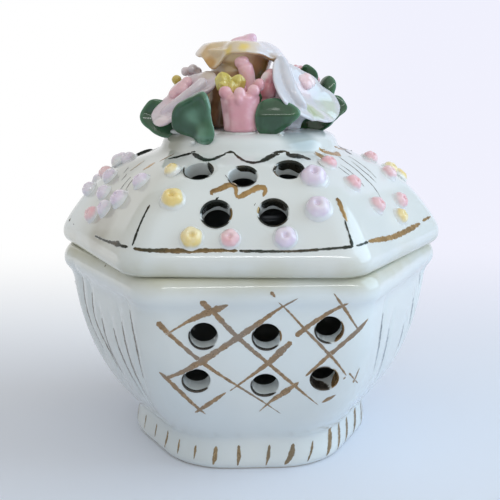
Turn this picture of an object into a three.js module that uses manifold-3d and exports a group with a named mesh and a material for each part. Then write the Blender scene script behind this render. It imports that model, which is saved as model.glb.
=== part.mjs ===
// Six-sided pierced porcelain box with a lift-off lid and a bouquet of applied clay flowers.
// Millimetres, +Z up. The origin is the centre of the foot's resting face, and the pierced front
// face looks along -Y. Sizes across the six sides are given as apothems: centre to flat side.
import * as THREE from 'three';
import { mergeVertices } from 'three/addons/utils/BufferGeometryUtils.js';
import Module from 'manifold-3d';

const wasm = await Module();
wasm.setup();

// Fits and clearances
const seatGap = 0.3; // between the lid's seat and the jar's rim
const lutingGap = 0.3; // between an applied piece and what it sits on
const flangePlay = 0.4; // least gap between the lid's flange and the jar's mouth
const lidTurn = THREE.MathUtils.degToRad(-3.8); // the lid sits turned within its flange's play

// Jar
const jarHeight = 51.5;
const jarWall = 4;
const footBottomApothem = 29.2;
const footFlareApothem = 29.6;
const footWaistApothem = 28.9;
const footHeight = 9;
const footEdgeRadius = 0.8;
const footRingWidth = 4;
const footRecessDepth = 4.5;
const floorThickness = 3.6;
const bulgeApothem = 40.9;
const bulgeHeight = 22;
const shoulderApothem = 41.9;
const lipHeight = 7.4;
const lipApothem = 43.7;
const rimApothem = 42.8;
const rimCorner = 8.7;
const footCorner = 18;
const mouthCorner = 6;

// Holes through the jar's pierced faces, as [across the face, below the rim]
const jarHoleRadius = 3.1;
const jarHoles = [[-11.7, 13.2], [2.2, 13.6], [16, 12.1], [-13.5, 24.4], [2, 25.9], [15.4, 24.4]];
const piercedFaces = [0, 2, 4];

// Lid
const lidBandHeight = 5.9;
const lidBandApothem = 44.2;
const lidEdgeRadius = 1.1;
const domeControlApothem = 35.4;
const domeControlHeight = 19.6;
const domeTopApothem = 23.8;
const domeTopHeight = 24.1;
const bossRadius = 22.3;
const bossEdgeRadius = 1.6;
const bossHeight = 29.2;
const bossCrown = 0.4;
const lidWall = 3.3;
const lidCorner = 8.7;
const flangeDepth = 4;
const flangeWall = 3;
const flangeCorner = 8;

// Holes through the lid's pierced panels, as [across the panel, above the lid's seat]
const lidHoleRadius = 3.2;
const lidHoles = [[-10.8, 21.5], [-0.6, 20.4], [9.8, 21.6], [-6.1, 13.1], [6.3, 13.4]];

// Rosette dots on the lid, as [across the panel, above the seat, radius] for each colour
const dotRise = 0.8; // height of a dot as a share of its radius
const frontDots = {
  yellow: [[-16, 15.8, 2.5], [-11.1, 8.4, 2.4]],
  pink: [[-2.9, 8.2, 2.1]],
  lilac: [[8.9, 8.3, 2.4], [15.8, 14.2, 2.7], [15.3, 19.8, 2.9]],
};
const rightDots = {
  pink: [[-9.4, 22.1, 2], [-9.8, 17.8, 2.1], [-6.5, 12.9, 2.1], [6.6, 12.2, 2.1], [12.3, 18, 2.1],
    [14.5, 21.3, 2]],
  yellow: [[1.9, 9.3, 2], [17.5, 18.5, 2]],
};
const leftDots = {
  pink: [[-4.7, 9, 2.1], [-17, 17.7, 2]],
  lilac: [[-10.8, 17.4, 2], [9, 18.2, 2.1], [-6.3, 13.9, 2], [5.5, 14.1, 2.3], [0.9, 11.2, 2.1],
    [-15.6, 21, 2], [-17.5, 13.6, 2]],
  yellow: [[15, 21, 1.9]],
};
const seenPanels = [['front', 0, frontDots], ['right', 1, rightDots], ['left', 5, leftDots]];
// The dots on the three rear panels are one with the shell.
const rearPanels = [[2, frontDots], [3, rightDots], [4, frontDots]];

// Bouquet, in the lid's own frame with heights above the boss. The pink tube flower stands in front.
const tube = { at: [-1.8, -15], footRadius: 4, mouthRadius: 4.9, height: 9.4, wall: 1.2, lobe: 1.7 };
const stamens = { at: [-4.2, -13.2, 12.2], radius: 2.6, bead: 1.5, count: 8 };
const pistil = { at: [-1.2, -8.6], radius: 1.9, height: 18 };
const bud = { at: [4.8, -9], radius: 2, height: 15.3, stemRadius: 1.3 };
const topFlower = { at: [-2.8, -1], stemRadius: 5.2, radius: 10.6, height: 20.6, droop: 2.4, ruffle: 0.06 };
const topCentre = { aside: [1, 0.6], rise: 2.9, size: [3.9, 3.7, 3.9] }; // from its flower's own place
const leftFlower = { at: [-15.4, -9.8, 6.6], faces: [-0.65, -0.33, 0.67], radius: 9.2, stem: 13 };
const rightFlower = { at: [13, -8, 8.6], faces: [0.66, -0.25, 0.7], radius: 10.8, stem: 15 };
const petalCount = 5;
const petalThickness = 1.9;
const sideStemRadius = 1.9;
const sideRuffle = 0.07;
const leftCentre = { rise: 1.3, size: [3.9, 1.9, 1.9], turn: 0.1 };
const rightCentre = { rise: 2, size: [2.6, 2.3, 2.4], turn: 0 };
// Leaves: foot and tip, which way the face looks, width and thickness
const leafCup = 0.16;
const leaves = {
  leaf_front_left: { foot: [-12.4, -18.2, -1], tip: [-12.2, -18.8, 8.6], faces: [-0.2, -1, 0.25], width: 9 },
  leaf_front_right: { foot: [2.8, -17.6, 0.7], tip: [13.4, -16.4, 5.3], faces: [0.2, -1, 0.3], width: 8.4 },
  leaf_left: { foot: [-17, -8.6, -0.4], tip: [-27, -9.2, 3.2], faces: [-0.3, -0.6, 0.75], width: 9.4 },
  leaf_right: { foot: [13.2, -10, 0], tip: [25.2, -7.4, 6.2], faces: [-0.3, -0.45, 0.8], width: 9.2 },
  leaf_back_right: { foot: [11, 5.5, -0.4], tip: [17.2, 4.4, 15.4], faces: [0.5, 0.6, 0.3], width: 6.4 },
  leaf_back_low: { foot: [15.8, 4.5, -0.4], tip: [21, 2.8, 13.2], faces: [0.8, 0.3, 0.2], width: 5.2 },
  leaf_back: { foot: [1.5, 16.6, -0.4], tip: [4, 15, 10], faces: [0.1, 1, 0.2], width: 9.6 },
  leaf_back_left: { foot: [-12.6, 13.5, -0.4], tip: [-15.6, 11, 9], faces: [-0.5, 0.8, 0.2], width: 9 },
};
const leafThickness = 2.6;
const budStretch = 1.8; // a bud's half length as a share of its radius
const clusters = {
  lilac_buds_back: { at: [-14.8, 4], footRadius: 2.2, neckRadius: 2.6, height: 15.2, bead: 1.7, count: 4,
    colour: 'lilac' },
  pink_buds_back: { at: [12.6, 2.6], footRadius: 1.8, neckRadius: 2, height: 15.8, bead: 1.3, count: 4,
    colour: 'pink' },
};
const yellowBudBack = { at: [-18.6, 4.4], radius: 1.7, height: 12.9, stemRadius: 1 };

// Facets
const cornerSteps = 3;
const dotSegments = 8;
const dotRings = 5;
const centreSegments = 10;
const centreRings = 7;
const holeSegments = 12;
const beadSegments = 6;
const beadRings = 4;
const lobeSegments = 7;
const lobeRings = 5;
const budSegments = 9;
const budRings = 6;
const stemSegments = 10;
const tubeSegments = 16;
const leafSegments = 12;
const leafRings = 8;

const glaze = { white: 0xdde6e8, pink: 0xeba6ae, yellow: 0xe6cf6c, lilac: 0xdccbe4, amber: 0xd9a557,
  green: 0x2f6b45 };

function glazed(colour) {
  return new THREE.MeshStandardMaterial({ color: glaze[colour], roughness: 0.15, metalness: 0 });
}

// Solids

// Makes a solid of a closed geometry, dropping the triangles that a pole or a seam leaves flat.
function solidOf(geometry) {
  const bare = geometry.clone();
  for (const name of Object.keys(bare.attributes)) {
    if (name !== 'position') bare.deleteAttribute(name);
  }
  const merged = mergeVertices(bare, 1e-4);
  const index = merged.index.array;
  const kept = [];
  for (let i = 0; i < index.length; i += 3) {
    const [a, b, c] = [index[i], index[i + 1], index[i + 2]];
    if (a !== b && b !== c && c !== a) kept.push(a, b, c);
  }
  const vertProperties = new Float32Array(merged.attributes.position.array);
  return new wasm.Manifold(new wasm.Mesh({ numProp: 3, vertProperties, triVerts: new Uint32Array(kept) }));
}

function geometryOf(solid) {
  const mesh = solid.getMesh();
  const geometry = new THREE.BufferGeometry();
  geometry.setAttribute('position', new THREE.BufferAttribute(new Float32Array(mesh.vertProperties), 3));
  geometry.setIndex(new THREE.BufferAttribute(new Uint32Array(mesh.triVerts), 1));
  geometry.computeVertexNormals();
  return geometry;
}

// Pushes a closed geometry's surface out along its normals.
function grown(geometry, distance) {
  const bare = geometry.clone();
  for (const name of Object.keys(bare.attributes)) {
    if (name !== 'position') bare.deleteAttribute(name);
  }
  const merged = mergeVertices(bare, 1e-4);
  merged.computeVertexNormals();
  const point = new THREE.Vector3();
  const normal = new THREE.Vector3();
  for (let i = 0; i < merged.attributes.position.count; i += 1) {
    point.fromBufferAttribute(merged.attributes.position, i);
    normal.fromBufferAttribute(merged.attributes.normal, i);
    point.addScaledVector(normal, distance);
    merged.attributes.position.setXYZ(i, point.x, point.y, point.z);
  }
  return merged;
}

function moved(geometry, x, y, z) {
  return geometry.clone().translate(x, y, z);
}

// Turns a geometry whose own axis is +Z so that the axis points along a direction.
function aimed(geometry, direction) {
  const turn = new THREE.Quaternion().setFromUnitVectors(
    new THREE.Vector3(0, 0, 1), new THREE.Vector3(...direction).normalize());
  return geometry.clone().applyQuaternion(turn);
}

// Six-sided forms

// A closed profile of [apothem, height, corner radius] points turned round six sides. Where the
// corner radius reaches the apothem the section is a circle.
function sixSided(profile) {
  const columns = 6 * (cornerSteps + 1);
  const rows = profile.length;
  const lathe = new THREE.LatheGeometry(profile.map(([a, z]) => new THREE.Vector2(a, z)), columns);
  const sixth = Math.PI / 3;
  for (let i = 0; i <= columns; i += 1) {
    const side = Math.floor((i % columns) / (cornerSteps + 1));
    const step = (i % columns) % (cornerSteps + 1);
    const direction = side * sixth + (step / cornerSteps) * sixth;
    const cornerAngle = (side + 0.5) * sixth;
    for (let j = 0; j < rows; j += 1) {
      const [apothem, height, corner] = profile[j];
      const radius = Math.min(corner, apothem);
      const reach = (apothem - radius) / Math.cos(sixth / 2);
      lathe.attributes.position.setXYZ(i * rows + j,
        reach * Math.sin(cornerAngle) + radius * Math.sin(direction),
        -reach * Math.cos(cornerAngle) - radius * Math.cos(direction), height);
    }
  }
  return lathe;
}

// Points of a quadratic curve, as [apothem, height] pairs, without its start.
function bend(start, control, end, steps) {
  const curve = new THREE.QuadraticBezierCurve(
    new THREE.Vector2(...start), new THREE.Vector2(...control), new THREE.Vector2(...end));
  return curve.getPoints(steps).slice(1).map((p) => [p.x, p.y]);
}

// Direction of a side's outward normal, with side 0 at the front.
function sideNormal(side) {
  const angle = side * Math.PI / 3;
  return new THREE.Vector3(Math.sin(angle), -Math.cos(angle), 0);
}

// Apothem of an outer profile at a height.
function apothemAt(outline, height) {
  for (let i = 1; i < outline.length; i += 1) {
    const [a0, z0] = outline[i - 1];
    const [a1, z1] = outline[i];
    if (height >= z0 && height <= z1 && z1 > z0) return a0 + (a1 - a0) * (height - z0) / (z1 - z0);
  }
  return outline[outline.length - 1][0];
}

// A place on a side: its point, and the outward normal of the surface there.
function placeOnSide(outline, side, across, height) {
  const step = 0.5;
  const apothem = apothemAt(outline, height);
  const lean = (apothemAt(outline, height - step) - apothemAt(outline, height + step)) / (2 * step);
  const out = sideNormal(side);
  const along = new THREE.Vector3(-out.y, out.x, 0);
  const point = out.clone().multiplyScalar(apothem).addScaledVector(along, across);
  point.z = height;
  const normal = out.clone();
  normal.z = lean;
  return { point, normal: normal.normalize() };
}

function drill(radius, length, place, direction) {
  const cylinder = new THREE.CylinderGeometry(radius, radius, length, holeSegments).rotateX(Math.PI / 2);
  return solidOf(moved(aimed(cylinder, direction.toArray()), ...place.toArray()));
}

// Jar

const jarOutline = [
  [footBottomApothem - footEdgeRadius, 0],
  [footBottomApothem, footEdgeRadius],
  [footFlareApothem, 2.5 * footEdgeRadius],
  [footWaistApothem, footHeight - footEdgeRadius],
  [footWaistApothem + footEdgeRadius, footHeight],
  ...bend([footWaistApothem + footEdgeRadius, footHeight], [bulgeApothem, bulgeHeight],
    [shoulderApothem, jarHeight - lipHeight], 6),
  [lipApothem, jarHeight - 0.7 * lipHeight],
  [lipApothem, jarHeight - 0.4 * lipHeight],
  [rimApothem, jarHeight - footEdgeRadius],
  [rimApothem - footEdgeRadius, jarHeight],
];
const mouthApothem = rimApothem - jarWall;
const innerFloor = footRecessDepth + floorThickness;
const recessApothem = footBottomApothem - footRingWidth;
const recessCorner = footCorner - footRingWidth;

function jarCorner(height) {
  return footCorner + (rimCorner - footCorner) * Math.min(1, height / (jarHeight - lipHeight));
}

function jarSolid() {
  const outside = jarOutline.map(([a, z]) => [a, z, jarCorner(z)]);
  const innerCorner = (height) => mouthCorner + jarCorner(height) - rimCorner;
  const wallHeights = [0.7 * jarHeight, 0.52 * jarHeight, 0.36 * jarHeight];
  const inside = [
    [mouthApothem, jarHeight],
    [mouthApothem, jarHeight - lipHeight],
    ...wallHeights.map((z) => [apothemAt(jarOutline, z) - jarWall, z]),
    [recessApothem, innerFloor + jarWall],
    [recessApothem - jarWall, innerFloor],
  ].map(([a, z]) => [a, z, innerCorner(z)]);
  const recess = [
    [recessApothem - footEdgeRadius, footRecessDepth, recessCorner],
    [recessApothem, footRecessDepth - footEdgeRadius, recessCorner],
    [recessApothem, 0, recessCorner],
  ];
  const profile = [...outside, ...inside, [0, innerFloor, 0], [0, footRecessDepth, 0], ...recess, outside[0]];
  let solid = solidOf(sixSided(profile));
  for (const side of piercedFaces) {
    for (const [across, belowRim] of jarHoles) {
      const { point, normal } = placeOnSide(jarOutline, side, across, jarHeight - belowRim);
      solid = solid.subtract(drill(jarHoleRadius, 4 * jarWall, point, normal));
    }
  }
  return solid;
}

// Lid. Its heights are measured from its seat on the jar's rim.

const lidSeat = jarHeight + seatGap;
const lidOutline = [
  [lidBandApothem - lidEdgeRadius, 0],
  [lidBandApothem, lidEdgeRadius],
  [lidBandApothem, lidBandHeight - 2 * lidEdgeRadius],
  [lidBandApothem - lidEdgeRadius, lidBandHeight],
  ...bend([lidBandApothem - lidEdgeRadius, lidBandHeight], [domeControlApothem, domeControlHeight],
    [domeTopApothem, domeTopHeight], 6),
  [bossRadius, domeTopHeight + bossEdgeRadius],
  [bossRadius, bossHeight - bossEdgeRadius],
  [bossRadius - 0.3 * bossEdgeRadius, bossHeight - 0.3 * bossEdgeRadius],
  [bossRadius - bossEdgeRadius, bossHeight],
  [0, bossHeight + bossCrown],
];
// The flange is as wide as the turned lid leaves room for inside the mouth.
const halfSide = Math.PI / 6;
const turnedShare = Math.cos(halfSide) / Math.cos(halfSide - Math.abs(lidTurn));
const flangeApothem = flangeCorner + (mouthApothem - flangePlay - flangeCorner) * turnedShare;

function lidCornerAt(apothem) {
  const rounding = THREE.MathUtils.smoothstep(
    lidBandApothem - apothem, 0, lidBandApothem - bossRadius);
  return lidCorner + (apothem - lidCorner) * rounding ** 3;
}

function dotForm(side, [across, height, radius]) {
  const { point, normal } = placeOnSide(lidOutline, side, across, height);
  point.addScaledVector(normal, (dotRise - 1) * radius);
  const ball = aimed(new THREE.SphereGeometry(radius, dotSegments, dotRings).rotateX(Math.PI / 2),
    normal.toArray());
  return moved(ball, ...point.toArray());
}

function rearDotForms() {
  return rearPanels.flatMap(([side, dots]) => (
    Object.values(dots).flat().map((place) => dotForm(side, place))));
}

// The lid's outside, closed across its seat.
function lidForm() {
  return sixSided([[0, 0, 0], ...lidOutline.map(([a, z]) => [a, z, lidCornerAt(a)])]);
}

function lidSolid() {
  const bore = flangeApothem - flangeWall;
  const domeHeights = [0.45, 0.65, 0.85].map((share) => share * domeTopHeight);
  const inside = [
    [flangeApothem, 0], [flangeApothem, -flangeDepth], [bore, -flangeDepth], [bore, 0.6 * lidBandHeight],
    ...domeHeights.map((z) => [apothemAt(lidOutline, z) - 1.25 * lidWall, z - 0.3 * lidWall]),
    [bossRadius - 1.5 * lidWall, domeTopHeight - 0.4 * lidWall],
    [bossRadius - 2.5 * lidWall, bossHeight - lidWall],
  ];
  const corner = (a) => Math.min(lidCornerAt(a), a);
  const outside = lidOutline.map(([a, z]) => [a, z, lidCornerAt(a)]);
  const beneath = inside.map(([a, z], i) => [a, z, i < 2 ? flangeCorner : corner(a) - 0.6 * flangeWall]);
  const profile = [...beneath.reverse(), ...outside];
  profile.unshift([0, bossHeight - lidWall, 0]);
  let solid = solidOf(sixSided(profile));
  for (const form of rearDotForms()) solid = solid.add(solidOf(form));
  for (const side of piercedFaces) {
    for (const [across, height] of lidHoles) {
      const { point, normal } = placeOnSide(lidOutline, side, across, height);
      solid = solid.subtract(drill(lidHoleRadius, 4 * lidWall, point, normal));
    }
  }
  return solid;
}

// Applied pieces

const glazeUnder = 1; // how far an applied form reaches below what it sits on, before it is cut back

const lid = new THREE.Group();
lid.position.z = lidSeat;
lid.rotation.z = lidTurn;
const inPlace = [lidForm(), ...rearDotForms()].map((form) => solidOf(grown(form, lutingGap)));

// Sets an applied form on the lid, cut back from all that is already in place. Slivers that the cuts
// part from it are dropped.
function lute(name, colour, form) {
  const cut = inPlace.reduce((solid, other) => solid.subtract(other), solidOf(form));
  const [main] = cut.decompose().sort((a, b) => b.volume() - a.volume());
  const mesh = new THREE.Mesh(geometryOf(main), glazed(colour));
  mesh.name = name;
  lid.add(mesh);
  inPlace.push(solidOf(grown(form, lutingGap)));
}

function fused(forms) {
  return geometryOf(wasm.Manifold.union(forms.map(solidOf)));
}

function onBoss(geometry, x, y, z) {
  return moved(geometry, x, y, z + bossHeight);
}

function ellipsoid(x, y, z, columns, rings) {
  return new THREE.SphereGeometry(1, columns, rings).rotateX(Math.PI / 2).scale(x, y, z);
}

// A solid of revolution about +Z through [radius, height] points.
function turned(points, columns) {
  const profile = points.map(([r, z]) => new THREE.Vector2(r, z));
  return new THREE.LatheGeometry(profile, columns).rotateX(Math.PI / 2);
}

function stem(radius, height) {
  return turned([[0, -glazeUnder], [radius, -glazeUnder], [radius, height], [0, height]], stemSegments);
}

function tubeFlower() {
  const { footRadius, mouthRadius, height, wall, lobe } = tube;
  const body = turned([[0, -glazeUnder], [footRadius, -glazeUnder], [footRadius, 0.3 * height],
    [mouthRadius, height], [mouthRadius - wall, height], [footRadius - wall, 0.4 * height],
    [0, 0.4 * height]], tubeSegments);
  const lobes = [];
  for (let i = 0; i < petalCount; i += 1) {
    const angle = (i / petalCount) * 2 * Math.PI - Math.PI / 2;
    const reach = mouthRadius - 0.4 * wall;
    lobes.push(moved(ellipsoid(lobe, lobe, 1.2 * lobe, lobeSegments, lobeRings),
      reach * Math.cos(angle), reach * Math.sin(angle), height));
  }
  return onBoss(fused([body, ...lobes]), ...tube.at, 0);
}

// Beads packed round a ball by the golden angle.
function beadCluster({ radius, bead, count }) {
  const golden = Math.PI * (3 - Math.sqrt(5));
  const forms = [ellipsoid(radius, radius, radius, budSegments, budRings)];
  for (let i = 0; i < count; i += 1) {
    const rise = 1 - (1.3 * (i + 0.5)) / count;
    const reach = radius * Math.sqrt(1 - rise * rise);
    forms.push(moved(ellipsoid(bead, bead, bead, beadSegments, beadRings),
      reach * Math.cos(i * golden), reach * Math.sin(i * golden), radius * rise));
  }
  return fused(forms);
}

// An open flower about +Z: its petals wave the edge of a dish on a stem that tapers down.
function openFlower(radius, stemLength, stemRadius, ruffle) {
  const profile = [
    [0, -stemLength], [stemRadius, -stemLength], [stemRadius, -0.55 * radius],
    [0.52 * radius, -0.28 * radius], [0.94 * radius, 0], [radius, 0.5 * petalThickness],
    [0.94 * radius, petalThickness], [0.5 * radius, petalThickness - 0.2 * radius],
    [0, petalThickness - 0.26 * radius],
  ];
  const flower = turned(profile, 4 * petalCount);
  const place = flower.attributes.position;
  for (let i = 0; i < place.count; i += 1) {
    const [x, y, z] = [place.getX(i), place.getY(i), place.getZ(i)];
    const edge = Math.min(1, Math.hypot(x, y) / radius) ** 4;
    const wave = Math.cos(petalCount * Math.atan2(y, x));
    const spread = 1 + ruffle * wave * edge;
    place.setXYZ(i, x * spread, y * spread, z + ruffle * radius * wave * edge);
  }
  return flower;
}

function topFlowerForm() {
  const { at, stemRadius, radius, height, droop, ruffle } = topFlower;
  const flower = openFlower(radius, height + glazeUnder - petalThickness, stemRadius, ruffle);
  const place = flower.attributes.position;
  for (let i = 0; i < place.count; i += 1) {
    const across = Math.min(1, Math.abs(place.getX(i)) / radius);
    place.setZ(i, place.getZ(i) - droop * across ** 2);
  }
  return onBoss(flower, ...at, height - petalThickness);
}

function topFlowerCentre() {
  const { at, height } = topFlower;
  const { aside, rise, size } = topCentre;
  const ball = ellipsoid(...size, centreSegments, centreRings);
  return onBoss(ball, at[0] + aside[0], at[1] + aside[1], height + rise - size[2]);
}

function sideFlowerForm({ at, faces, radius, stem: stemLength }) {
  return onBoss(aimed(openFlower(radius, stemLength, sideStemRadius, sideRuffle), faces), ...at);
}

function sideFlowerCentre({ at, faces }, { rise, size, turn }) {
  const away = new THREE.Vector3(...faces).normalize().multiplyScalar(rise);
  const form = aimed(ellipsoid(...size, centreSegments, centreRings).rotateZ(turn), faces);
  return onBoss(form, at[0] + away.x, at[1] + away.y, at[2] + away.z);
}

// A cupped leaf from its foot to its tip: a flattened ball, drawn to a point and curled at its sides.
function leafForm({ foot, tip, faces, width }) {
  const from = new THREE.Vector3(...foot);
  const along = new THREE.Vector3(...tip).sub(from);
  const half = along.length() / 2;
  along.normalize();
  const face = new THREE.Vector3(...faces);
  face.addScaledVector(along, -face.dot(along)).normalize();
  const side = new THREE.Vector3().crossVectors(face, along);
  const leaf = ellipsoid(1, 1, 1, leafSegments, leafRings);
  leaf.rotateY(Math.PI / 2);
  const place = leaf.attributes.position;
  for (let i = 0; i < place.count; i += 1) {
    const [x, y, z] = [place.getX(i), place.getY(i), place.getZ(i)];
    const taper = 1 - 0.45 * Math.max(0, x) ** 2;
    const across = (y * taper * width) / 2;
    const lift = leafCup * (across * across) / (width / 2);
    place.setXYZ(i, x * half, across, (z * leafThickness) / 2 + lift);
  }
  const frame = new THREE.Matrix4().makeBasis(along, side, face);
  leaf.applyMatrix4(frame);
  return onBoss(leaf, ...from.addScaledVector(along, half).toArray());
}

function budForm({ at, radius, height, stemRadius }) {
  const rise = budStretch * radius;
  const head = moved(ellipsoid(radius, radius, rise, budSegments, budRings), 0, 0, height - rise);
  return onBoss(fused([head, stem(stemRadius, height - rise)]), ...at, 0);
}

function budClusterForm({ at, footRadius, neckRadius, height, bead, count }) {
  const neck = turned([[0, -glazeUnder], [footRadius, -glazeUnder], [neckRadius, height - 2 * bead],
    [0, height - bead]], stemSegments);
  const beads = [];
  for (let i = 0; i < count; i += 1) {
    const angle = ((i + 0.5) / count) * 2 * Math.PI;
    beads.push(moved(ellipsoid(bead, bead, bead, beadSegments, beadRings),
      neckRadius * 0.8 * Math.cos(angle), neckRadius * 0.8 * Math.sin(angle), height - bead));
  }
  return onBoss(fused([neck, ...beads]), ...at, 0);
}

// Assembly

const box = new THREE.Group();
const jar = new THREE.Mesh(geometryOf(jarSolid()), glazed('white'));
jar.name = 'jar';
const lidShell = new THREE.Mesh(geometryOf(lidSolid()), glazed('white'));
lidShell.name = 'lid_shell';
lid.add(lidShell);
box.add(jar, lid);

lute('pink_tube_flower', 'pink', tubeFlower());
lute('leaf_front_left', 'green', leafForm(leaves.leaf_front_left));
lute('leaf_front_right', 'green', leafForm(leaves.leaf_front_right));
lute('left_flower', 'lilac', sideFlowerForm(leftFlower));
lute('right_flower', 'lilac', sideFlowerForm(rightFlower));
lute('top_flower', 'amber', topFlowerForm());
lute('top_flower_centre', 'pink', topFlowerCentre());
lute('left_flower_centre', 'pink', sideFlowerCentre(leftFlower, leftCentre));
lute('right_flower_centre', 'pink', sideFlowerCentre(rightFlower, rightCentre));
lute('pink_bud', 'pink', budForm(bud));
lute('pink_pistil', 'pink', budForm({ ...pistil, stemRadius: 0.9 * pistil.radius }));
lute('yellow_stamens', 'yellow', onBoss(beadCluster(stamens), ...stamens.at));
for (const [name, leaf] of Object.entries(leaves).slice(2)) lute(name, 'green', leafForm(leaf));
for (const [name, cluster] of Object.entries(clusters)) lute(name, cluster.colour, budClusterForm(cluster));
lute('yellow_bud_back', 'yellow', budForm(yellowBudBack));
for (const [panel, side, dots] of seenPanels) {
  for (const [colour, places] of Object.entries(dots)) {
    places.forEach((place, i) => lute(`dot_${panel}_${colour}_${i + 1}`, colour, dotForm(side, place)));
  }
}

export default box;
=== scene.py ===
"""Six-sided pierced porcelain box with a bouquet of clay flowers, dressed for a plain studio.

Every length in the classes below is in millimetres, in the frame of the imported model: the origin is
the centre of the foot's resting face, and the pierced front face looks along -Y. Meshes are written in
metres. A side's number goes round from the front face, 0, by the right.
"""

import logging
import math
from collections.abc import Callable, Sequence
from dataclasses import dataclass, field
from enum import Enum
import bpy
import numpy as np
from mathutils import Matrix, Vector


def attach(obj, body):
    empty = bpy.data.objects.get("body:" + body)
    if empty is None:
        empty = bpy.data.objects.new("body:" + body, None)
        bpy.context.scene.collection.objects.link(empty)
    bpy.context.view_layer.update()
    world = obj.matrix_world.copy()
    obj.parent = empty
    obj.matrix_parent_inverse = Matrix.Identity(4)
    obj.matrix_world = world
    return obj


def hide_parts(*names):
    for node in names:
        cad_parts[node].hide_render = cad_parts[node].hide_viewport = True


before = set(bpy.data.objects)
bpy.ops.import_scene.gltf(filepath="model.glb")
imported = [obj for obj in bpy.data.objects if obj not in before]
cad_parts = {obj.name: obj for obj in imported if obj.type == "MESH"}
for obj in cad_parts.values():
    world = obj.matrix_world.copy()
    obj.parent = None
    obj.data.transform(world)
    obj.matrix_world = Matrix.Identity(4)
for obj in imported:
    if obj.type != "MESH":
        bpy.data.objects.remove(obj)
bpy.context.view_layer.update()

log = logging.getLogger("porcelain_box")

MM = 0.001
SIXTH = math.pi / 3
LID_TURN = math.radians(-3.8)
LEAN_STEP = 0.3
HAIR = 1e-6
MERGED = 2e-7
SLIVER = 1e-8
TINY = 1e-12
GLAZE_IOR = 1.52
COAT_ROUGHNESS = 0.04

Array = np.ndarray
Piece = bpy.types.Object
Socket = bpy.types.NodeSocket
Colour = tuple[float, float, float]
Triple = tuple[float, float, float]
Pair = tuple[float, float]
Line = tuple[Triple, ...]
Ring = tuple[Pair, ...]
Lines = tuple[Line, ...]
Spread = Callable[[Array, Array], Array]
Group = dict[str, Piece]

WHITE: Colour = (1.0, 1.0, 1.0)


class Body(Enum):
    """The two loose bodies that pieces ride on."""

    JAR = "jar"
    LID = "lid"


class Slot(Enum):
    """The record's material slots."""

    WHITE = "white_glaze"
    PINK = "pink_glaze"
    YELLOW = "yellow_glaze"
    LILAC = "lilac_glaze"
    AMBER = "amber_glaze"
    GREEN = "green_glaze"


# Mesh tools


def enter_mode(name: str) -> None:
    """Switch the active object to edit or object mode."""
    bpy.ops.object.mode_set(mode=name)


def deselect() -> None:
    """Leave nothing selected."""
    if bpy.context.object and bpy.context.object.mode != "OBJECT":
        enter_mode("OBJECT")
    bpy.ops.object.select_all(action="DESELECT")


def take(piece: Piece) -> None:
    """Make one object the only selected and the active one."""
    deselect()
    piece.select_set(True)
    bpy.context.view_layer.objects.active = piece


def coordinates(piece: Piece) -> Array:
    """Read a piece's vertex places as rows, in metres."""
    places = np.empty(len(piece.data.vertices) * 3)
    piece.data.vertices.foreach_get("co", places)
    return places.reshape(-1, 3)


def set_coordinates(piece: Piece, places: Array) -> None:
    """Write a piece's vertex places, in metres."""
    piece.data.vertices.foreach_set("co", np.ascontiguousarray(places, dtype=float).ravel())
    piece.data.update()


def tagged(piece: Piece, name: str, values: Array) -> None:
    """Keep a number on each vertex of a piece for its material."""
    attribute = piece.data.attributes.new(name, "FLOAT", "POINT")
    attribute.data.foreach_set("value", np.ascontiguousarray(values, dtype=np.float32))


def sheet_piece(name: str, columns: int, rows: int, surface: Spread,
                **tags: Spread) -> Piece:
    """Add a grid and lay it on a curved surface.

    Args:
        name: The piece's name.
        columns: Cells along the surface's first direction.
        rows: Cells along its second direction.
        surface: Gives places in millimetres for arrays of both directions, each from 0 to 1.
        **tags: Give a number for each vertex in the same way, kept under the tag's name.

    Returns:
        The sheet, open at its edges.
    """
    deselect()
    bpy.ops.mesh.primitive_grid_add(x_subdivisions=columns, y_subdivisions=rows, size=2)
    piece = bpy.context.object
    piece.name = piece.data.name = name
    flat = coordinates(piece)
    u, v = (flat[:, 0] + 1) / 2, (flat[:, 1] + 1) / 2
    set_coordinates(piece, surface(u, v) * MM)
    for key, tag in tags.items():
        tagged(piece, key, tag(u, v))
    return piece


def outward(piece: Piece) -> Piece:
    """Turn a piece's faces outwards."""
    take(piece)
    enter_mode("EDIT")
    bpy.ops.mesh.select_all(action="SELECT")
    bpy.ops.mesh.normals_make_consistent(inside=False)
    enter_mode("OBJECT")
    return piece


def close_up(piece: Piece) -> Piece:
    """Merge a rolled sheet's seam and poles, and turn its faces outwards."""
    take(piece)
    enter_mode("EDIT")
    bpy.ops.mesh.select_all(action="SELECT")
    bpy.ops.mesh.remove_doubles(threshold=MERGED)
    bpy.ops.mesh.dissolve_degenerate(threshold=SLIVER)
    enter_mode("OBJECT")
    return outward(piece)


def modified(piece: Piece, kind: str, **settings: object) -> Piece:
    """Add a modifier with its settings and apply it.

    Args:
        piece: The object to change.
        kind: The modifier's type.
        **settings: The modifier's own settings.

    Returns:
        The same object.
    """
    take(piece)
    modifier = piece.modifiers.new(kind.title(), kind)
    for key, value in settings.items():
        setattr(modifier, key, value)
    bpy.ops.object.modifier_apply(modifier=modifier.name)
    return piece


def thickened(piece: Piece, thickness: float, offset: float = 0.0) -> Piece:
    """Give a sheet its thickness in millimetres, to both sides unless an offset says otherwise."""
    return modified(piece, "SOLIDIFY", thickness=thickness * MM, offset=offset, use_even_offset=False)


def joined(name: str, pieces: Sequence[Piece]) -> Piece:
    """Join several pieces into one object.

    Args:
        name: The joined object's name.
        pieces: The objects, at least one.

    Returns:
        The joined object.
    """
    deselect()
    for piece in pieces:
        piece.select_set(True)
    bpy.context.view_layer.objects.active = pieces[0]
    if len(pieces) > 1:
        bpy.ops.object.join()
    whole = bpy.context.object
    whole.name = whole.data.name = name
    return whole


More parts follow.
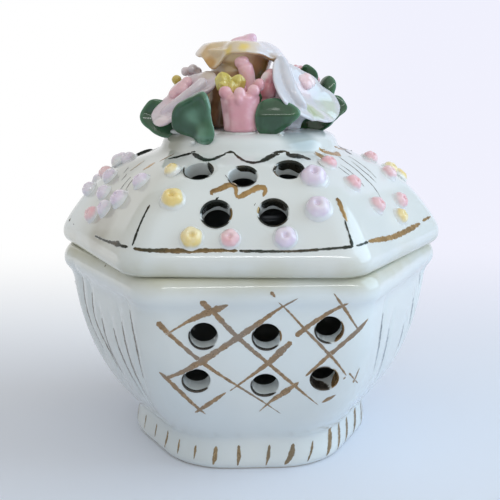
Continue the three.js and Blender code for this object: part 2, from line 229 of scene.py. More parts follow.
def smooth_shaded(piece: Piece, degrees: float = 40.0) -> Piece:
    """Shade a piece smooth, with edges kept past an angle."""
    take(piece)
    bpy.ops.object.shade_smooth_by_angle(angle=math.radians(degrees))
    return piece


def ribbons_joined(name: str, ribbons: Sequence[Piece]) -> Piece:
    """Join thin closed ribbons of gold into one piece, with its faces outwards."""
    return smooth_shaded(outward(joined(name, ribbons)), 60)


def ball(size: Triple, columns: int, rings: int) -> Piece:
    """Add a ball at the origin, drawn out to an ellipsoid of three radii in millimetres."""
    deselect()
    bpy.ops.mesh.primitive_uv_sphere_add(segments=columns, ring_count=rings, radius=1)
    piece = bpy.context.object
    set_coordinates(piece, coordinates(piece) * np.array(size) * MM)
    return piece


def unit(vectors: Array) -> Array:
    """Scale each row to length one."""
    return vectors / np.maximum(np.linalg.norm(vectors, axis=-1, keepdims=True), TINY)


def nearest(share: Array, count: int) -> Array:
    """Give the number of the grid line that each share of the way over a count of cells falls on."""
    return np.rint(share * count).astype(int)


def eased(value: Array | float, low: float, high: float) -> Array:
    """Rise smoothly from 0 to 1 between two values."""
    share = np.clip((np.asarray(value, float) - low) / (high - low), 0, 1)
    return share * share * (3 - 2 * share)


def worn_in(points: Sequence[Sequence[float]], rounds: int = 3) -> Array:
    """Cut the corners off an open chain of points until it is smooth, with its ends kept."""
    chain = np.array(points, float)
    for _ in range(rounds):
        near = 0.75 * chain[:-1] + 0.25 * chain[1:]
        far = 0.25 * chain[:-1] + 0.75 * chain[1:]
        middle = np.stack([near, far], axis=1).reshape(-1, chain.shape[1])
        chain = np.vstack([chain[:1], middle, chain[-1:]])
    return chain


def spaced(chain: Array, step: float, axes: int = 2) -> Array:
    """Lay points evenly along a chain.

    Args:
        chain: Rows of points.
        step: Wanted distance between points.
        axes: How many of the columns count as distance.

    Returns:
        The evenly spaced rows.
    """
    lengths = np.linalg.norm(np.diff(chain[:, :axes], axis=0), axis=1)
    run = np.concatenate([[0], np.cumsum(lengths)])
    count = max(2, int(round(run[-1] / step)) + 1)
    marks = np.linspace(0, run[-1], count)
    return np.stack([np.interp(marks, run, chain[:, k]) for k in range(chain.shape[1])], axis=1)


def basis(axis: Sequence[float], towards: Sequence[float] = (0, 0, 1)) -> Array:
    """Give three square directions as rows: across, towards, and the axis itself."""
    third = unit(np.array(axis, float))
    second = np.array(towards, float)
    second = unit(second - third * (second @ third))
    return np.stack([np.cross(second, third), second, third])


def swept(centre: Array, axes: Array, angle: Array, reach: Array, along: Array) -> Array:
    """Place points round an axis.

    Args:
        centre: The axis's foot.
        axes: Two directions across the axis and the axis itself, as rows.
        angle: Each point's angle round the axis, in radians.
        reach: Its distance from the axis.
        along: Its distance along the axis.

    Returns:
        Rows of places.
    """
    return centre + (reach * np.cos(angle))[:, None] * axes[0] + (reach * np.sin(angle))[:, None] * axes[1] \
        + along[:, None] * axes[2]


def bend(start: Pair, control: Pair, end: Pair, steps: int = 10) -> list[Pair]:
    """Give the points of a bend between two ends, without the first."""
    share = np.linspace(0, 1, steps + 1)[1:, None]
    a, b, c = (np.array(p) for p in (start, control, end))
    return [tuple(p) for p in (1 - share) ** 2 * a + 2 * share * (1 - share) * b + share ** 2 * c]


# Six-sided walls


@dataclass(frozen=True)
class Hole:
    """A hole through a side, at a distance across it and a height."""

    across: float
    height: float


@dataclass(frozen=True)
class Wall:
    """The outer face of a six-sided wall: how far its sides stand and how round its corners are."""

    heights: Array
    apothems: Array
    corners: Array
    turn: float = 0.0
    flutes: dict[int, tuple[Ring, ...]] = field(default_factory=dict)
    flute_depth: float = 0.0
    flute_width: float = 1.0

    def apothem(self, height: Array | float) -> Array:
        """Give the centre-to-side distance at a height."""
        return np.interp(height, self.heights, self.apothems)

    def corner(self, height: Array | float) -> Array:
        """Give the corner radius at a height."""
        return np.minimum(np.interp(height, self.heights, self.corners), self.apothem(height))

    def sunk(self, side: int, across: Array, height: Array) -> Array:
        """Give how far the flutes of a side sink in at a place."""
        depth = np.zeros(np.broadcast(across, height).shape)
        for flute in self.flutes.get(side, ()):
            xs, zs = np.array(flute[::-1]).T
            ends = eased(height, zs[0] - 7, zs[0] + 3) * (1 - eased(height, zs[-1], zs[-1] + 6))
            line = np.interp(height, zs, xs)
            depth = np.maximum(depth, ends * np.exp(-(((across - line) / self.flute_width) ** 2)))
        return self.flute_depth * depth

    def place(self, side: int, across: Array | float, height: Array | float, proud: Array | float = 0.0) -> Array:
        """Find places on a side.

        Args:
            side: The side's number.
            across: Distance along the side from its middle, past its ends round the corner.
            height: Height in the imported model's frame.
            proud: How far off the surface.

        Returns:
            Rows of places in millimetres.
        """
        across, height, proud = (np.asarray(v, float) for v in np.broadcast_arrays(across, height, proud))
        reach, corner = self.apothem(height), self.corner(height)
        half = (reach - corner) * math.tan(SIXTH / 2)
        past = np.clip((np.abs(across) - half) / np.maximum(corner, HAIR), 0, 0.98)
        swing = np.arcsin(past) * np.sign(across)
        flat = np.clip(across, -half, half)
        normal = side * SIXTH + self.turn
        out = np.stack([np.sin(normal + swing), -np.cos(normal + swing), np.zeros_like(swing)], -1)
        square = np.array([math.sin(normal), -math.cos(normal), 0])
        along = np.array([math.cos(normal), math.sin(normal), 0])
        core = (reach - corner - self.sunk(side, across, height))[..., None] * square
        lean = (self.apothem(height - LEAN_STEP) - self.apothem(height + LEAN_STEP)) / (2 * LEAN_STEP)
        away = unit(out + lean[..., None] * np.array([0, 0, 1.0]))
        base = core + flat[..., None] * along + corner[..., None] * out
        base[..., 2] = height
        return base + proud[..., None] * away

    def away(self, side: int, height: float) -> Array:
        """Give the surface's direction at the middle of a side."""
        return unit(self.place(side, 0.0, height, 1.0) - self.place(side, 0.0, height, 0.0))

    def spot(self, side: int, hole: Hole) -> tuple[Array, Array]:
        """Give where a hole's axis meets a side, and its direction outwards."""
        return self.place(side, hole.across, hole.height), self.away(side, hole.height)


def revolved_hexagon(name: str, chain: Array, turn: float, inner: Array, wall: Wall | None = None,
                     fluted: slice = slice(0, 0), flat_cells: int = 48, corner_cells: int = 16) -> Piece:
    """Roll a sheet into a closed six-sided vessel.

    Its section runs from a six-sided one to a round one, which scaling an extrusion can't do.

    Args:
        name: The piece's name.
        chain: Rows of apothem, height and corner radius, from one pole to the other.
        turn: How far the vessel is turned about +Z.
        inner: For each row of the chain, 1 inside the vessel and 0 outside it.
        wall: The wall whose flutes sink the sides, if any.
        fluted: The rows of the chain that are the fluted outer face.
        flat_cells: Cells across the flat of a side.
        corner_cells: Cells round a corner.

    Returns:
        The closed vessel.
    """
    per_side = flat_cells + corner_cells
    columns, rows = 6 * per_side, len(chain) - 1
    count = np.arange(columns + 1)
    sides = (count // per_side) % 6
    step = count % per_side
    share = np.clip(step / flat_cells, 0, 1) * 2 - 1
    swing = np.clip((step - flat_cells) / corner_cells, 0, 1) * SIXTH

    def surface(u: Array, v: Array) -> Array:
        """Place the sheet's points round the vessel."""
        column = nearest(u, columns)
        row = nearest(v, rows)
        reach, height = chain[row, 0], chain[row, 1]
        corner = np.minimum(chain[row, 2], reach)
        side, normal = sides[column], sides[column] * SIXTH + turn
        half = (reach - corner) * math.tan(SIXTH / 2)
        across = share[column] * half
        inset = reach - corner
        if wall is not None:
            on_wall = (row >= fluted.start) & (row < fluted.stop) & (step[column] <= flat_cells)
            for number in wall.flutes:
                mine = on_wall & (side == number)
                inset[mine] -= wall.sunk(number, across[mine], height[mine])
        facing = normal + swing[column]
        return np.stack([
            inset * np.sin(normal) + across * np.cos(normal) + corner * np.sin(facing),
            -inset * np.cos(normal) + across * np.sin(normal) - corner * np.cos(facing),
            height,
        ], axis=-1)

    def depth(u: Array, v: Array) -> Array:
        """Tell the inside from the outside, for the glaze's painted shade inside."""
        return inner[nearest(v, rows)]

    return close_up(sheet_piece(name, columns, rows, surface, within=depth))


@dataclass(frozen=True)
class Punch:
    """The tool that pierces a wall: its radius, its depth, and how round it leaves the hole's edge."""

    radius: float
    depth: float
    edge: float
    facets: int = 40

    def skin(self, run: Array) -> tuple[Array, Array, Array]:
        """Follow the hole's skin inwards from its rim.

        Args:
            run: Distances from the rim, over the rounded edge and down the hole.

        Returns:
            The distance from the hole's axis, the level against the wall's face, and how far the skin has turned.
        """
        turned = np.clip(run / self.edge, 0, math.pi / 2)
        reach = self.radius + self.edge * (1 - np.sin(turned))
        level = self.edge * (np.cos(turned) - 1) - np.maximum(run - self.edge * math.pi / 2, 0)
        return reach, level, turned

    def cutter(self, centre: Array, away: Array) -> Piece:
        """Make the closed cutter for one hole, which flares where it leaves the outer face.

        Args:
            centre: Where the hole's axis meets the outer face.
            away: The hole's direction outwards.

        Returns:
            The cutter.
        """
        reach, level, _ = self.skin(np.linspace(self.edge * math.pi / 2, 0, 6))
        wide, clear = self.radius + 3 * self.edge, 3.0
        profile = np.array([(0, -self.depth), (self.radius, -self.depth), *zip(reach, level), (wide, self.edge),
                            (wide, clear), (0, clear)])
        rows = len(profile) - 1
        axes = basis(away)

        def surface(u: Array, v: Array) -> Array:
            """Turn the cutter's profile round its axis."""
            row = nearest(v, rows)
            return swept(centre, axes, 2 * math.pi * u, profile[row, 0], profile[row, 1])

        def depth(u: Array, v: Array) -> Array:
            """Give the share of the way in, which darkens the hole's skin as painted shade."""
            return np.clip(-profile[nearest(v, rows), 1] / self.depth, 0, 1)

        return close_up(sheet_piece("hole", self.facets, rows, surface, within=depth))

    def lining(self, centre: Array, away: Array, arc: Pair, run: Pair) -> Piece:
        """Paint part of a hole's skin, as a thin closed ribbon that narrows to its ends.

        Args:
            centre: Where the hole's axis meets the outer face.
            away: The hole's direction outwards.
            arc: The ribbon's two ends, in degrees from the side's right, by its top.
            run: How far in from the rim its two edges lie.

        Returns:
            The ribbon.
        """
        axes = basis(away)
        lift, film = 0.04, 0.1

        def surface(u: Array, v: Array) -> Array:
            """Place the ribbon's points."""
            angle = np.radians(arc[0] + (arc[1] - arc[0]) * u)
            ends = np.sqrt(np.clip(5 * np.minimum(u, 1 - u), 0.02, 1))
            wavy = 1 + 0.14 * np.sin(4.3 * angle + arc[0]) * (v - 0.3)
            reach, level, turned = self.skin(run[0] + (run[1] - run[0]) * np.clip(v * ends * wavy, 0, 1.1))
            return swept(centre, axes, angle, reach - lift * np.sin(turned), level + lift * np.cos(turned))

        def dense(u: Array, v: Array) -> Array:
            """Thin the gold out towards the ends of the arc and into the hole."""
            return np.clip(6 * np.minimum(u, 1 - u), 0, 1) * (1 - 0.45 * v ** 2)

        columns = max(8, round(abs(arc[1] - arc[0]) / 6))
        return thickened(sheet_piece("lining", columns, 8, surface, dense=dense), film)


@dataclass(frozen=True)
class Lining:
    """Gilding on the skin of one hole: the hole's number, its arc in degrees, and its depth from the rim."""

    hole: int
    arc: Pair
    run: Pair


@dataclass
class Vessel:
    """What the jar and the lid share: a six-sided wall with holes through three of its sides."""

    punch: Punch
    holes: tuple[Hole, ...]
    pierced_sides: tuple[int, ...] = (0, 2, 4)
    cell: float = 0.85
    cap: float = 8.0
    wall: Wall = field(init=False)
    outer: Array = field(init=False)

    def raise_wall(self, points: Sequence[Triple], **settings: object) -> None:
        """Wear the outer face's section smooth, and keep the rows that rise as its wall.

        Args:
            points: The section's apothems, heights and corner radii, from below.
            **settings: The wall's turn and flutes.
        """
        self.outer = worn_in(points, 2)
        rising = self.outer[np.concatenate([[True], np.diff(self.outer[:, 1]) > HAIR])]
        self.wall = Wall(rising[:, 1], rising[:, 0], rising[:, 2], **settings)

    def pierced(self, piece: Piece) -> Piece:
        """Cut the holes through a piece's sides, and shade it smooth."""
        cutter = joined("cutter", [self.punch.cutter(*self.wall.spot(side, hole))
                                   for side in self.pierced_sides for hole in self.holes])
        modified(piece, "BOOLEAN", operation="DIFFERENCE", solver="MANIFOLD", object=cutter)
        bpy.data.objects.remove(cutter)
        return smooth_shaded(piece, 50)

    def lined(self, name: str, linings: Sequence[Lining]) -> Piece:
        """Lay linings in the holes of every pierced side, as one piece."""
        return ribbons_joined(name, [
            self.punch.lining(*self.wall.spot(side, self.holes[lining.hole]), lining.arc, lining.run)
            for side in self.pierced_sides for lining in linings])


# Finishes


@dataclass(frozen=True)
class Tint:
    """A patch of colour painted round a point, in millimetres, that fades out to its reach."""

    centre: Triple
    reach: float
    colour: Colour
    strength: float = 1.0


class Recipe:
    """Builds the nodes of one material."""

    def __init__(self, name: str) -> None:
        """Start an empty material with its output, shader and object coordinates."""
        self.material = bpy.data.materials.new(name)
        self.material.use_nodes = True
        self.tree = self.material.node_tree
        self.shader = self.tree.nodes["Principled BSDF"]
        self.output = self.tree.nodes["Material Output"]
        self.place = self.tree.nodes.new("ShaderNodeTexCoord").outputs["Object"]

    def node(self, kind: str, settings: dict[str, object] | None = None, **inputs: object) -> bpy.types.Node:
        """Add a node.

        Args:
            kind: The node's type, without its prefix.
            settings: The node's own settings.
            **inputs: Values or sockets for its inputs, with _ for a space in a name, or i0, i1 by number.

        Returns:
            The node.
        """
        node = self.tree.nodes.new("ShaderNode" + kind)
        for key, value in (settings or {}).items():
            setattr(node, key, value)
        for key, value in inputs.items():
            socket = node.inputs[int(key[1:])] if key[0] == "i" and key[1:].isdigit() else \
                node.inputs[key.replace("_", " ")]
            self.feed(socket, value)
        return node

    def feed(self, socket: Socket, value: object) -> None:
        """Link a socket to another, or set its value."""
        if isinstance(value, Socket):
            self.tree.links.new(value, socket)
        elif isinstance(value, tuple) and len(value) == 3 and socket.type == "RGBA":
            socket.default_value = (*value, 1)
        else:
            socket.default_value = value

    def noise(self, scale: float, detail: float = 2.0, roughness: float = 0.5) -> Socket:
        """Give a noise of a scale per metre, from 0 to 1."""
        return self.node("TexNoise", Vector=self.place, Scale=scale, Detail=detail,
                         Roughness=roughness).outputs["Fac"]

    def ramp(self, value: object, low: float, high: float, start: float = 0.0,
             end: float = 1.0) -> Socket:
        """Map a value from one range to another, smoothly and clamped."""
        return self.node("MapRange", {"interpolation_type": "SMOOTHSTEP"}, Value=value, From_Min=low, From_Max=high,
                         To_Min=start, To_Max=end).outputs["Result"]

    def maths(self, operation: str, first: object, second: object = 0.0) -> Socket:
        """Combine two numbers."""
        return self.node("Math", {"operation": operation}, i0=first, i1=second).outputs[0]

    def mixed(self, share: object, first: object, second: object) -> Socket:
        """Mix two colours by a share of the second."""
        return self.node("Mix", {"data_type": "RGBA"}, i0=share, i6=first, i7=second).outputs[2]

    def tinted(self, coloured: object, tints: Sequence[Tint], grain: float = 260.0) -> object:
        """Paint patches over a colour, each with a ragged edge.

        Args:
            coloured: The colour under them.
            tints: The patches, in order.
            grain: The scale of the raggedness, per metre.

        Returns:
            The colour with the patches on it.
        """
        for tint in tints:
            ragged = self.maths("MULTIPLY", self.maths("SUBTRACT", self.noise(grain, 2), 0.5), 0.9 * tint.reach * MM)
            away = self.node("VectorMath", {"operation": "DISTANCE"}, i0=self.place,
                             i1=tuple(v * MM for v in tint.centre)).outputs["Value"]
            share = self.ramp(self.maths("ADD", away, ragged), 0.35 * tint.reach * MM, tint.reach * MM,
                              tint.strength, 0.0)
            coloured = self.mixed(share, coloured, tint.colour)
        return coloured

    def tag(self, name: str) -> Socket:
        """Read a number kept on each vertex."""
        return self.node("Attribute", {"attribute_name": name}).outputs["Fac"]

    def height(self) -> Socket:
        """Give the height, in metres."""
        return self.node("SeparateXYZ", Vector=self.place).outputs["Z"]

    def bumped(self, *layers: tuple[object, float, float]) -> Socket:
        """Stack bumps, each a height, a strength and a distance in millimetres."""
        normal = None
        for height, strength, distance in layers:
            bump = self.node("Bump", Height=height, Strength=strength, Distance=distance * MM)
            if normal is not None:
                self.feed(bump.inputs["Normal"], normal)
            normal = bump.outputs["Normal"]
        return normal

    def finish(self, **sockets: object) -> bpy.types.Material:
        """Set the shader's sockets and hand over the material."""
        for key, value in sockets.items():
            self.feed(self.shader.inputs[key.replace("_", " ")], value)
        return self.material


@dataclass(frozen=True)
class ClearGlaze:
    """Bluish-white porcelain glaze: faint mottling, cream where it ran thin at the seam, iron specks, painted shade
    inside, and tints that paint light and shade.
    """

    name: str
    white: Colour = (0.76, 0.8, 0.805)
    pooled: Colour = (0.69, 0.745, 0.76)
    cream: Colour = (0.5, 0.48, 0.33)
    # inside: the dark grey of the painted shade inside the vessel and down its holes
    inside: Colour = (0.14, 0.145, 0.14)
    speck: Colour = (0.16, 0.11, 0.06)
    bare_clay: Colour = (0.62, 0.58, 0.5)
    seam: float = 51.6
    cream_reach: float = 7.2
    biscuit: bool = False
    tints: tuple[Tint, ...] = ()

    def made(self) -> bpy.types.Material:
        """Build the material."""
        recipe = Recipe(self.name)
        mottled = recipe.mixed(recipe.ramp(recipe.noise(38, 3), 0.35, 0.7), self.white, self.pooled)
        mottled = recipe.tinted(mottled, self.tints, 30)
        off_seam = recipe.maths("ABSOLUTE", recipe.maths("SUBTRACT", recipe.height(), self.seam * MM))
        ragged = recipe.maths("MULTIPLY", recipe.noise(70, 3), self.cream_reach * MM)
        edge = recipe.maths("ADD", off_seam, ragged)
        thin = recipe.ramp(edge, 0.3 * self.cream_reach * MM, 1.15 * self.cream_reach * MM, 0.75, 0.0)
        creamy = recipe.mixed(thin, mottled, self.cream)
        cells = recipe.node("TexVoronoi", Vector=recipe.place, Scale=115.0)
        dot = recipe.ramp(cells.outputs["Distance"], 0.02, 0.045, 1.0, 0.0)
        rare = recipe.ramp(recipe.node("SeparateColor", Color=cells.outputs["Color"]).outputs[0], 0.955, 0.965)
        coloured = recipe.mixed(recipe.maths("MULTIPLY", dot, rare), creamy, self.speck)
        # Painted shade: faces inside the vessel and deep in the holes are darkened towards the inside colour.
        depth = recipe.tag("within")
        coloured = recipe.mixed(recipe.ramp(depth, 0.05, 0.5), coloured, self.inside)
        rough = recipe.ramp(recipe.noise(120, 3), 0.3, 0.8, 0.07, 0.15)
        if self.biscuit:
            bare = recipe.ramp(recipe.height(), 0.1 * MM, 0.45 * MM, 1.0, 0.0)
            coloured = recipe.mixed(bare, coloured, self.bare_clay)
            rough = recipe.maths("MAXIMUM", rough, recipe.maths("MULTIPLY", bare, 0.75))
        wavy = recipe.bumped((recipe.noise(55, 1), 0.35, 0.35), (recipe.noise(650, 2), 0.12, 0.02))
        return recipe.finish(Base_Color=coloured, Roughness=rough, Normal=wavy, IOR=GLAZE_IOR, Coat_Weight=0.35,
                             Coat_Roughness=COAT_ROUGHNESS, Subsurface_Weight=0.06, Subsurface_Scale=0.004,
                             Subsurface_Radius=(0.9, 0.95, 1.0))


@dataclass(frozen=True)
class PaintedGlaze:
    """A coloured glaze brushed over clay, deeper where it pooled, with tints painted round points; on the flowers some
    tints, and the top flower's faces that look down, are painted light and shade.
    """

    name: str
    slot: Slot
    colour: Colour
    thin: Colour
    tints: tuple[Tint, ...] = ()
    grain: float = 230.0
    pooled: str | None = None
    pool_colour: Colour = (0.8, 0.84, 0.87)

    def made(self) -> bpy.types.Material:
        """Build the material."""
        recipe = Recipe(self.name)
        patchy = recipe.ramp(recipe.noise(self.grain, 3, 0.55), 0.36, 0.68)
        coloured = recipe.mixed(patchy, self.colour, self.thin)
        # For the top flower the tag marks the faces that look down, which take the pool colour as painted shade over
        # its amber glaze; for the dots it marks the pooled collar.
        if self.pooled:
            level = recipe.tag(self.pooled)
            ragged = recipe.maths("ADD", level, recipe.ramp(recipe.noise(300, 2), 0.3, 0.7, -0.12, 0.12))
            coloured = recipe.mixed(recipe.ramp(ragged, 0.12, 0.62, 0.9, 0.0), coloured, self.pool_colour)
        coloured = recipe.tinted(coloured, self.tints)
        rough = recipe.ramp(recipe.noise(400, 2), 0.3, 0.8, 0.08, 0.18)
        wavy = recipe.bumped((recipe.noise(180, 2), 0.3, 0.25), (recipe.noise(900, 2), 0.15, 0.03))
        return recipe.finish(Base_Color=coloured, Roughness=rough, Normal=wavy, IOR=GLAZE_IOR, Coat_Weight=0.5,
                             Coat_Roughness=COAT_ROUGHNESS, Subsurface_Weight=0.12, Subsurface_Scale=0.003,
                             Subsurface_Radius=(1.0, 0.75, 0.7))


@dataclass(frozen=True)
class LeafGlaze:
    """A dark green glaze that breaks to bluish green where it is thin, streaked by the brush."""

    name: str
    deep: Colour = (0.01, 0.06, 0.022)
    middle: Colour = (0.026, 0.118, 0.048)
    thin: Colour = (0.11, 0.28, 0.17)

    def made(self) -> bpy.types.Material:
        """Build the material."""
        recipe = Recipe(self.name)
        stretched = recipe.node("Mapping", Vector=recipe.place, Scale=(1.0, 1.0, 0.35)).outputs["Vector"]
        brushed = recipe.node("TexNoise", Vector=stretched, Scale=240.0, Detail=3.0).outputs["Fac"]
        body = recipe.mixed(recipe.ramp(brushed, 0.35, 0.65), self.deep, self.middle)
        ridge = recipe.tag("thin")
        light = recipe.maths("MULTIPLY", ridge, recipe.ramp(recipe.noise(130, 2), 0.3, 0.65, 0.25, 1.0))
        coloured = recipe.mixed(recipe.ramp(light, 0.1, 1.0, 0.0, 0.85), body, self.thin)
        rough = recipe.ramp(recipe.noise(300, 2), 0.3, 0.8, 0.07, 0.2)
        wavy = recipe.bumped((recipe.noise(160, 2), 0.35, 0.3), (brushed, 0.2, 0.08))
        return recipe.finish(Base_Color=coloured, Roughness=rough, Normal=wavy, IOR=GLAZE_IOR, Coat_Weight=0.6,
                             Coat_Roughness=COAT_ROUGHNESS)


@dataclass(frozen=True)
class Gilt:
    """Bright gold brushed on thinly: brown, rubbed to grey where it is worn, with the glaze showing at its edges."""

    name: str
    gold: Colour
    worn: Colour
    wear: float = 0.5
    metal: float = 0.5
    under: Colour = (0.66, 0.71, 0.72)

    def made(self) -> bpy.types.Material:
        """Build the material."""
        recipe = Recipe(self.name)
        rubbed = recipe.ramp(recipe.noise(95, 4, 0.6), 0.6 - 0.3 * self.wear, 0.8 - 0.3 * self.wear)
        streaks = recipe.ramp(recipe.noise(900, 2), 0.3, 0.75)
        base = recipe.mixed(streaks, self.gold, tuple(0.72 * v for v in self.gold))
        level = recipe.tag("dense")
        broken = recipe.maths("ADD", level, recipe.ramp(recipe.noise(900, 3, 0.55), 0.3, 0.7, -0.2, 0.2))
        cover = recipe.ramp(broken, 0.05, 0.5)
        coloured = recipe.mixed(cover, self.under, recipe.mixed(rubbed, base, self.worn))
        rough = recipe.ramp(recipe.noise(500, 3), 0.3, 0.75, 0.16, 0.36)
        wavy = recipe.bumped((recipe.noise(700, 2), 0.3, 0.04))
        return recipe.finish(Base_Color=coloured, Metallic=recipe.maths("MULTIPLY", cover, self.metal), Roughness=rough,
                             Normal=wavy)


@dataclass(frozen=True)
class FloorPaper:
    """Pale blue-grey paper that fades to a white and lavender background behind the box."""

    name: str = "floor_paper"
    near: Colour = (0.83, 0.875, 0.985)
    white: Colour = WHITE
    lavender: Colour = (0.875, 0.88, 0.985)
    camera: Pair = (-7.3, -210.6)

    def made(self) -> bpy.types.Material:
        """Build the material: paper near the box, and plain light far behind it for camera and gloss."""
        recipe = Recipe(self.name)
        parts = recipe.node("SeparateXYZ", Vector=recipe.place).outputs
        depth = recipe.maths("SUBTRACT", parts["Y"], self.camera[1] * MM)
        aside = recipe.maths("SUBTRACT", parts["X"], self.camera[0] * MM)
        slope = recipe.maths("DIVIDE", aside, depth)
        far_colour = recipe.mixed(recipe.ramp(slope, -0.12, 0.24), self.white, self.lavender)
        paper = recipe.mixed(recipe.ramp(recipe.noise(6, 2), 0.3, 0.7), self.near,
                             tuple(0.97 * v for v in self.near))
        recipe.finish(Base_Color=paper, Roughness=0.75, Specular_IOR_Level=0.2)
        glow = recipe.node("Emission", Color=far_colour, Strength=1.0)
        path = recipe.node("LightPath").outputs
        seen = recipe.maths("MAXIMUM", path["Is Camera Ray"],
                            recipe.maths("MAXIMUM", path["Is Glossy Ray"], path["Is Transmission Ray"]))
        share = recipe.maths("MULTIPLY", seen, recipe.ramp(parts["Y"], -0.02, 0.24))
        mix = recipe.node("MixShader", Fac=share, i1=recipe.shader.outputs[0], i2=glow.outputs[0])
        recipe.feed(recipe.output.inputs["Surface"], mix.outputs[0])
        return recipe.material


def dressed(piece: Piece, material: bpy.types.Material, body: Body, slot: Slot, *nodes: str) -> None:
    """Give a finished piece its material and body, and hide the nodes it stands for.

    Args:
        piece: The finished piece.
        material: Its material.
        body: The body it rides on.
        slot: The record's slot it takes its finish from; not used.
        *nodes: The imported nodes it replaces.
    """
    piece.data.materials.clear()
    piece.data.materials.append(material)
    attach(piece, body.value)
    if nodes:
        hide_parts(*nodes)
    log.info("%s rides on %s, %d faces", piece.name, body.value, len(piece.data.polygons))


def gilded(pieces: Group, finishes: dict[str, Gilt], body: Body) -> None:
    """Give each group of strokes its own gold."""
    for key, piece in pieces.items():
        dressed(piece, finishes[key].made(), body, Slot.AMBER)


# Jar


@dataclass
class Jar(Vessel):
    """The slip-cast six-sided bowl on its foot ring, pierced on three sides and fluted on the others."""

    height: float = 51.5
    shoulder: float = 44.1
    mouth: float = 42.8
    wall_thickness: float = 4.0
    inner_floor: float = 8.1
    recess: float = 25.2
    recess_height: float = 4.5
    recess_fillet: float = 0.8
    ring: float = 4.0
    foot_corner: float = 18.0
    rim_corner: float = 8.7
    mouth_corner: float = 6.0
    punch: Punch = Punch(3.1, 8.5, 0.35)
    holes: tuple[Hole, ...] = (Hole(-11.7, 38.3), Hole(2.2, 37.9), Hole(16.0, 39.4), Hole(-13.5, 27.1),
                               Hole(2.0, 25.6), Hole(15.4, 27.1))
    left_flutes: tuple[Ring, ...] = (
        ((-14.8, 43.9), (-15.6, 36.4), (-14.4, 30.6), (-10.9, 24.9)),
        ((-9.2, 41.0), (-10.6, 34.5), (-9.2, 31.0), (-6.2, 26.4), (-4.7, 21.7)),
        ((-5.1, 35.0), (-5.4, 29.5), (-4.3, 23.7), (-2.8, 20.7)),
        ((2.1, 34.4), (2.4, 30.1), (3.8, 24.5), (5.6, 17.4)),
        ((8.5, 37.8), (8.5, 33.9), (8.3, 28.5), (8.6, 22.3), (9.0, 18.4)),
        ((14.5, 42.3), (15.0, 37.6), (15.3, 32.6), (13.7, 24.8)))
    right_flutes: tuple[Ring, ...] = (
        ((-11.1, 39.8), (-10.8, 35.0), (-9.3, 30.3), (-6.1, 23.1)),
        ((-3.6, 33.8), (-2.7, 29.7), (-1.6, 25.8), (2.8, 18.6)),
        ((10.3, 30.7), (11.4, 26.9), (13.0, 23.2)),
        ((14.4, 37.2), (15.1, 33.6), (16.4, 29.2)),
        ((17.5, 43.5), (18.0, 40.0)))

    def __post_init__(self) -> None:
        """Work out the outer wall."""
        foot = [(28.4, 0.0), (29.2, 0.8), (29.6, 2.2), (28.9, 6.5), (28.9, 8.2), (29.7, 9.0)]
        bowl = bend((29.7, 9.0), (40.9, 22.0), (41.9, self.shoulder))
        lip = [(43.6, 46.3), (43.75, 47.6), (43.7, 48.8), (43.1, 50.2), (42.4, 51.2), (41.9, self.height)]
        flutes = {1: self.right_flutes, 5: self.left_flutes, 3: self.left_flutes}
        self.raise_wall([(a, z, self.corner_at(z)) for a, z in (*foot, *bowl, *lip)],
                        flutes=flutes, flute_depth=0.42, flute_width=1.25)

    def corner_at(self, height: float) -> float:
        """Give the outer corner radius at a height."""
        share = min(1.0, max(0.0, height) / self.shoulder)
        return self.foot_corner + (self.rim_corner - self.foot_corner) * share

    def build(self) -> Piece:
        """Model the bowl, closed and pierced."""
        thick, floor, recess, low = self.wall_thickness, self.inner_floor, self.recess, self.recess_height
        mouth, inner_corner = self.mouth - thick, self.mouth_corner - self.rim_corner
        inside = [(mouth, self.height), (mouth, self.shoulder)]
        inside += [(float(self.wall.apothem(z)) - thick, z) for z in (36.0, 26.8, 18.5)]
        inside += [(recess, floor + thick), (recess - thick, floor)]
        inside_rows = [(a, z, self.corner_at(z) + inner_corner) for a, z in inside]
        beneath = [(recess - self.recess_fillet, low), (recess, low - self.recess_fillet), (recess, 0.0)]
        beneath_rows = [(a, z, self.foot_corner - self.ring) for a, z in beneath]
        middle = [(0, low, 0), (self.cap, low, self.cap), (16.0, low, 12.0)]
        under = spaced(worn_in([*beneath_rows, tuple(self.outer[0])], 2), self.cell)
        outer = spaced(self.outer, self.cell)
        within = spaced(worn_in([tuple(self.outer[-1]), *inside_rows, (self.cap, floor, self.cap)], 2),
                        1.5 * self.cell)
        chain = np.vstack([*middle, under, outer[1:-1], within, (0, floor, 0)])
        start = len(middle) + len(under)
        face = slice(start, start + len(outer) - 2)
        inner = (np.arange(len(chain)) > face.stop + 3).astype(float)
        return self.pierced(revolved_hexagon("jar_glazed", chain, 0.0, inner, self.wall, face))

    def dress(self, piece: Piece) -> None:
        """Glaze the bowl, with painted shade on its lower left and painted light on its right front."""
        glaze = ClearGlaze("jar_glaze", biscuit=True, tints=(
            # Painted shade low on the left, and painted light on the right front.
            Tint((-24.0, -32.0, 14.0), 30.0, (0.64, 0.7, 0.73), 0.7),
            Tint((12.0, -42.0, 38.0), 24.0, (0.78, 0.86, 0.9), 0.8)))
        dressed(piece, glaze.made(), Body.JAR, Slot.WHITE, "jar")


# Lid


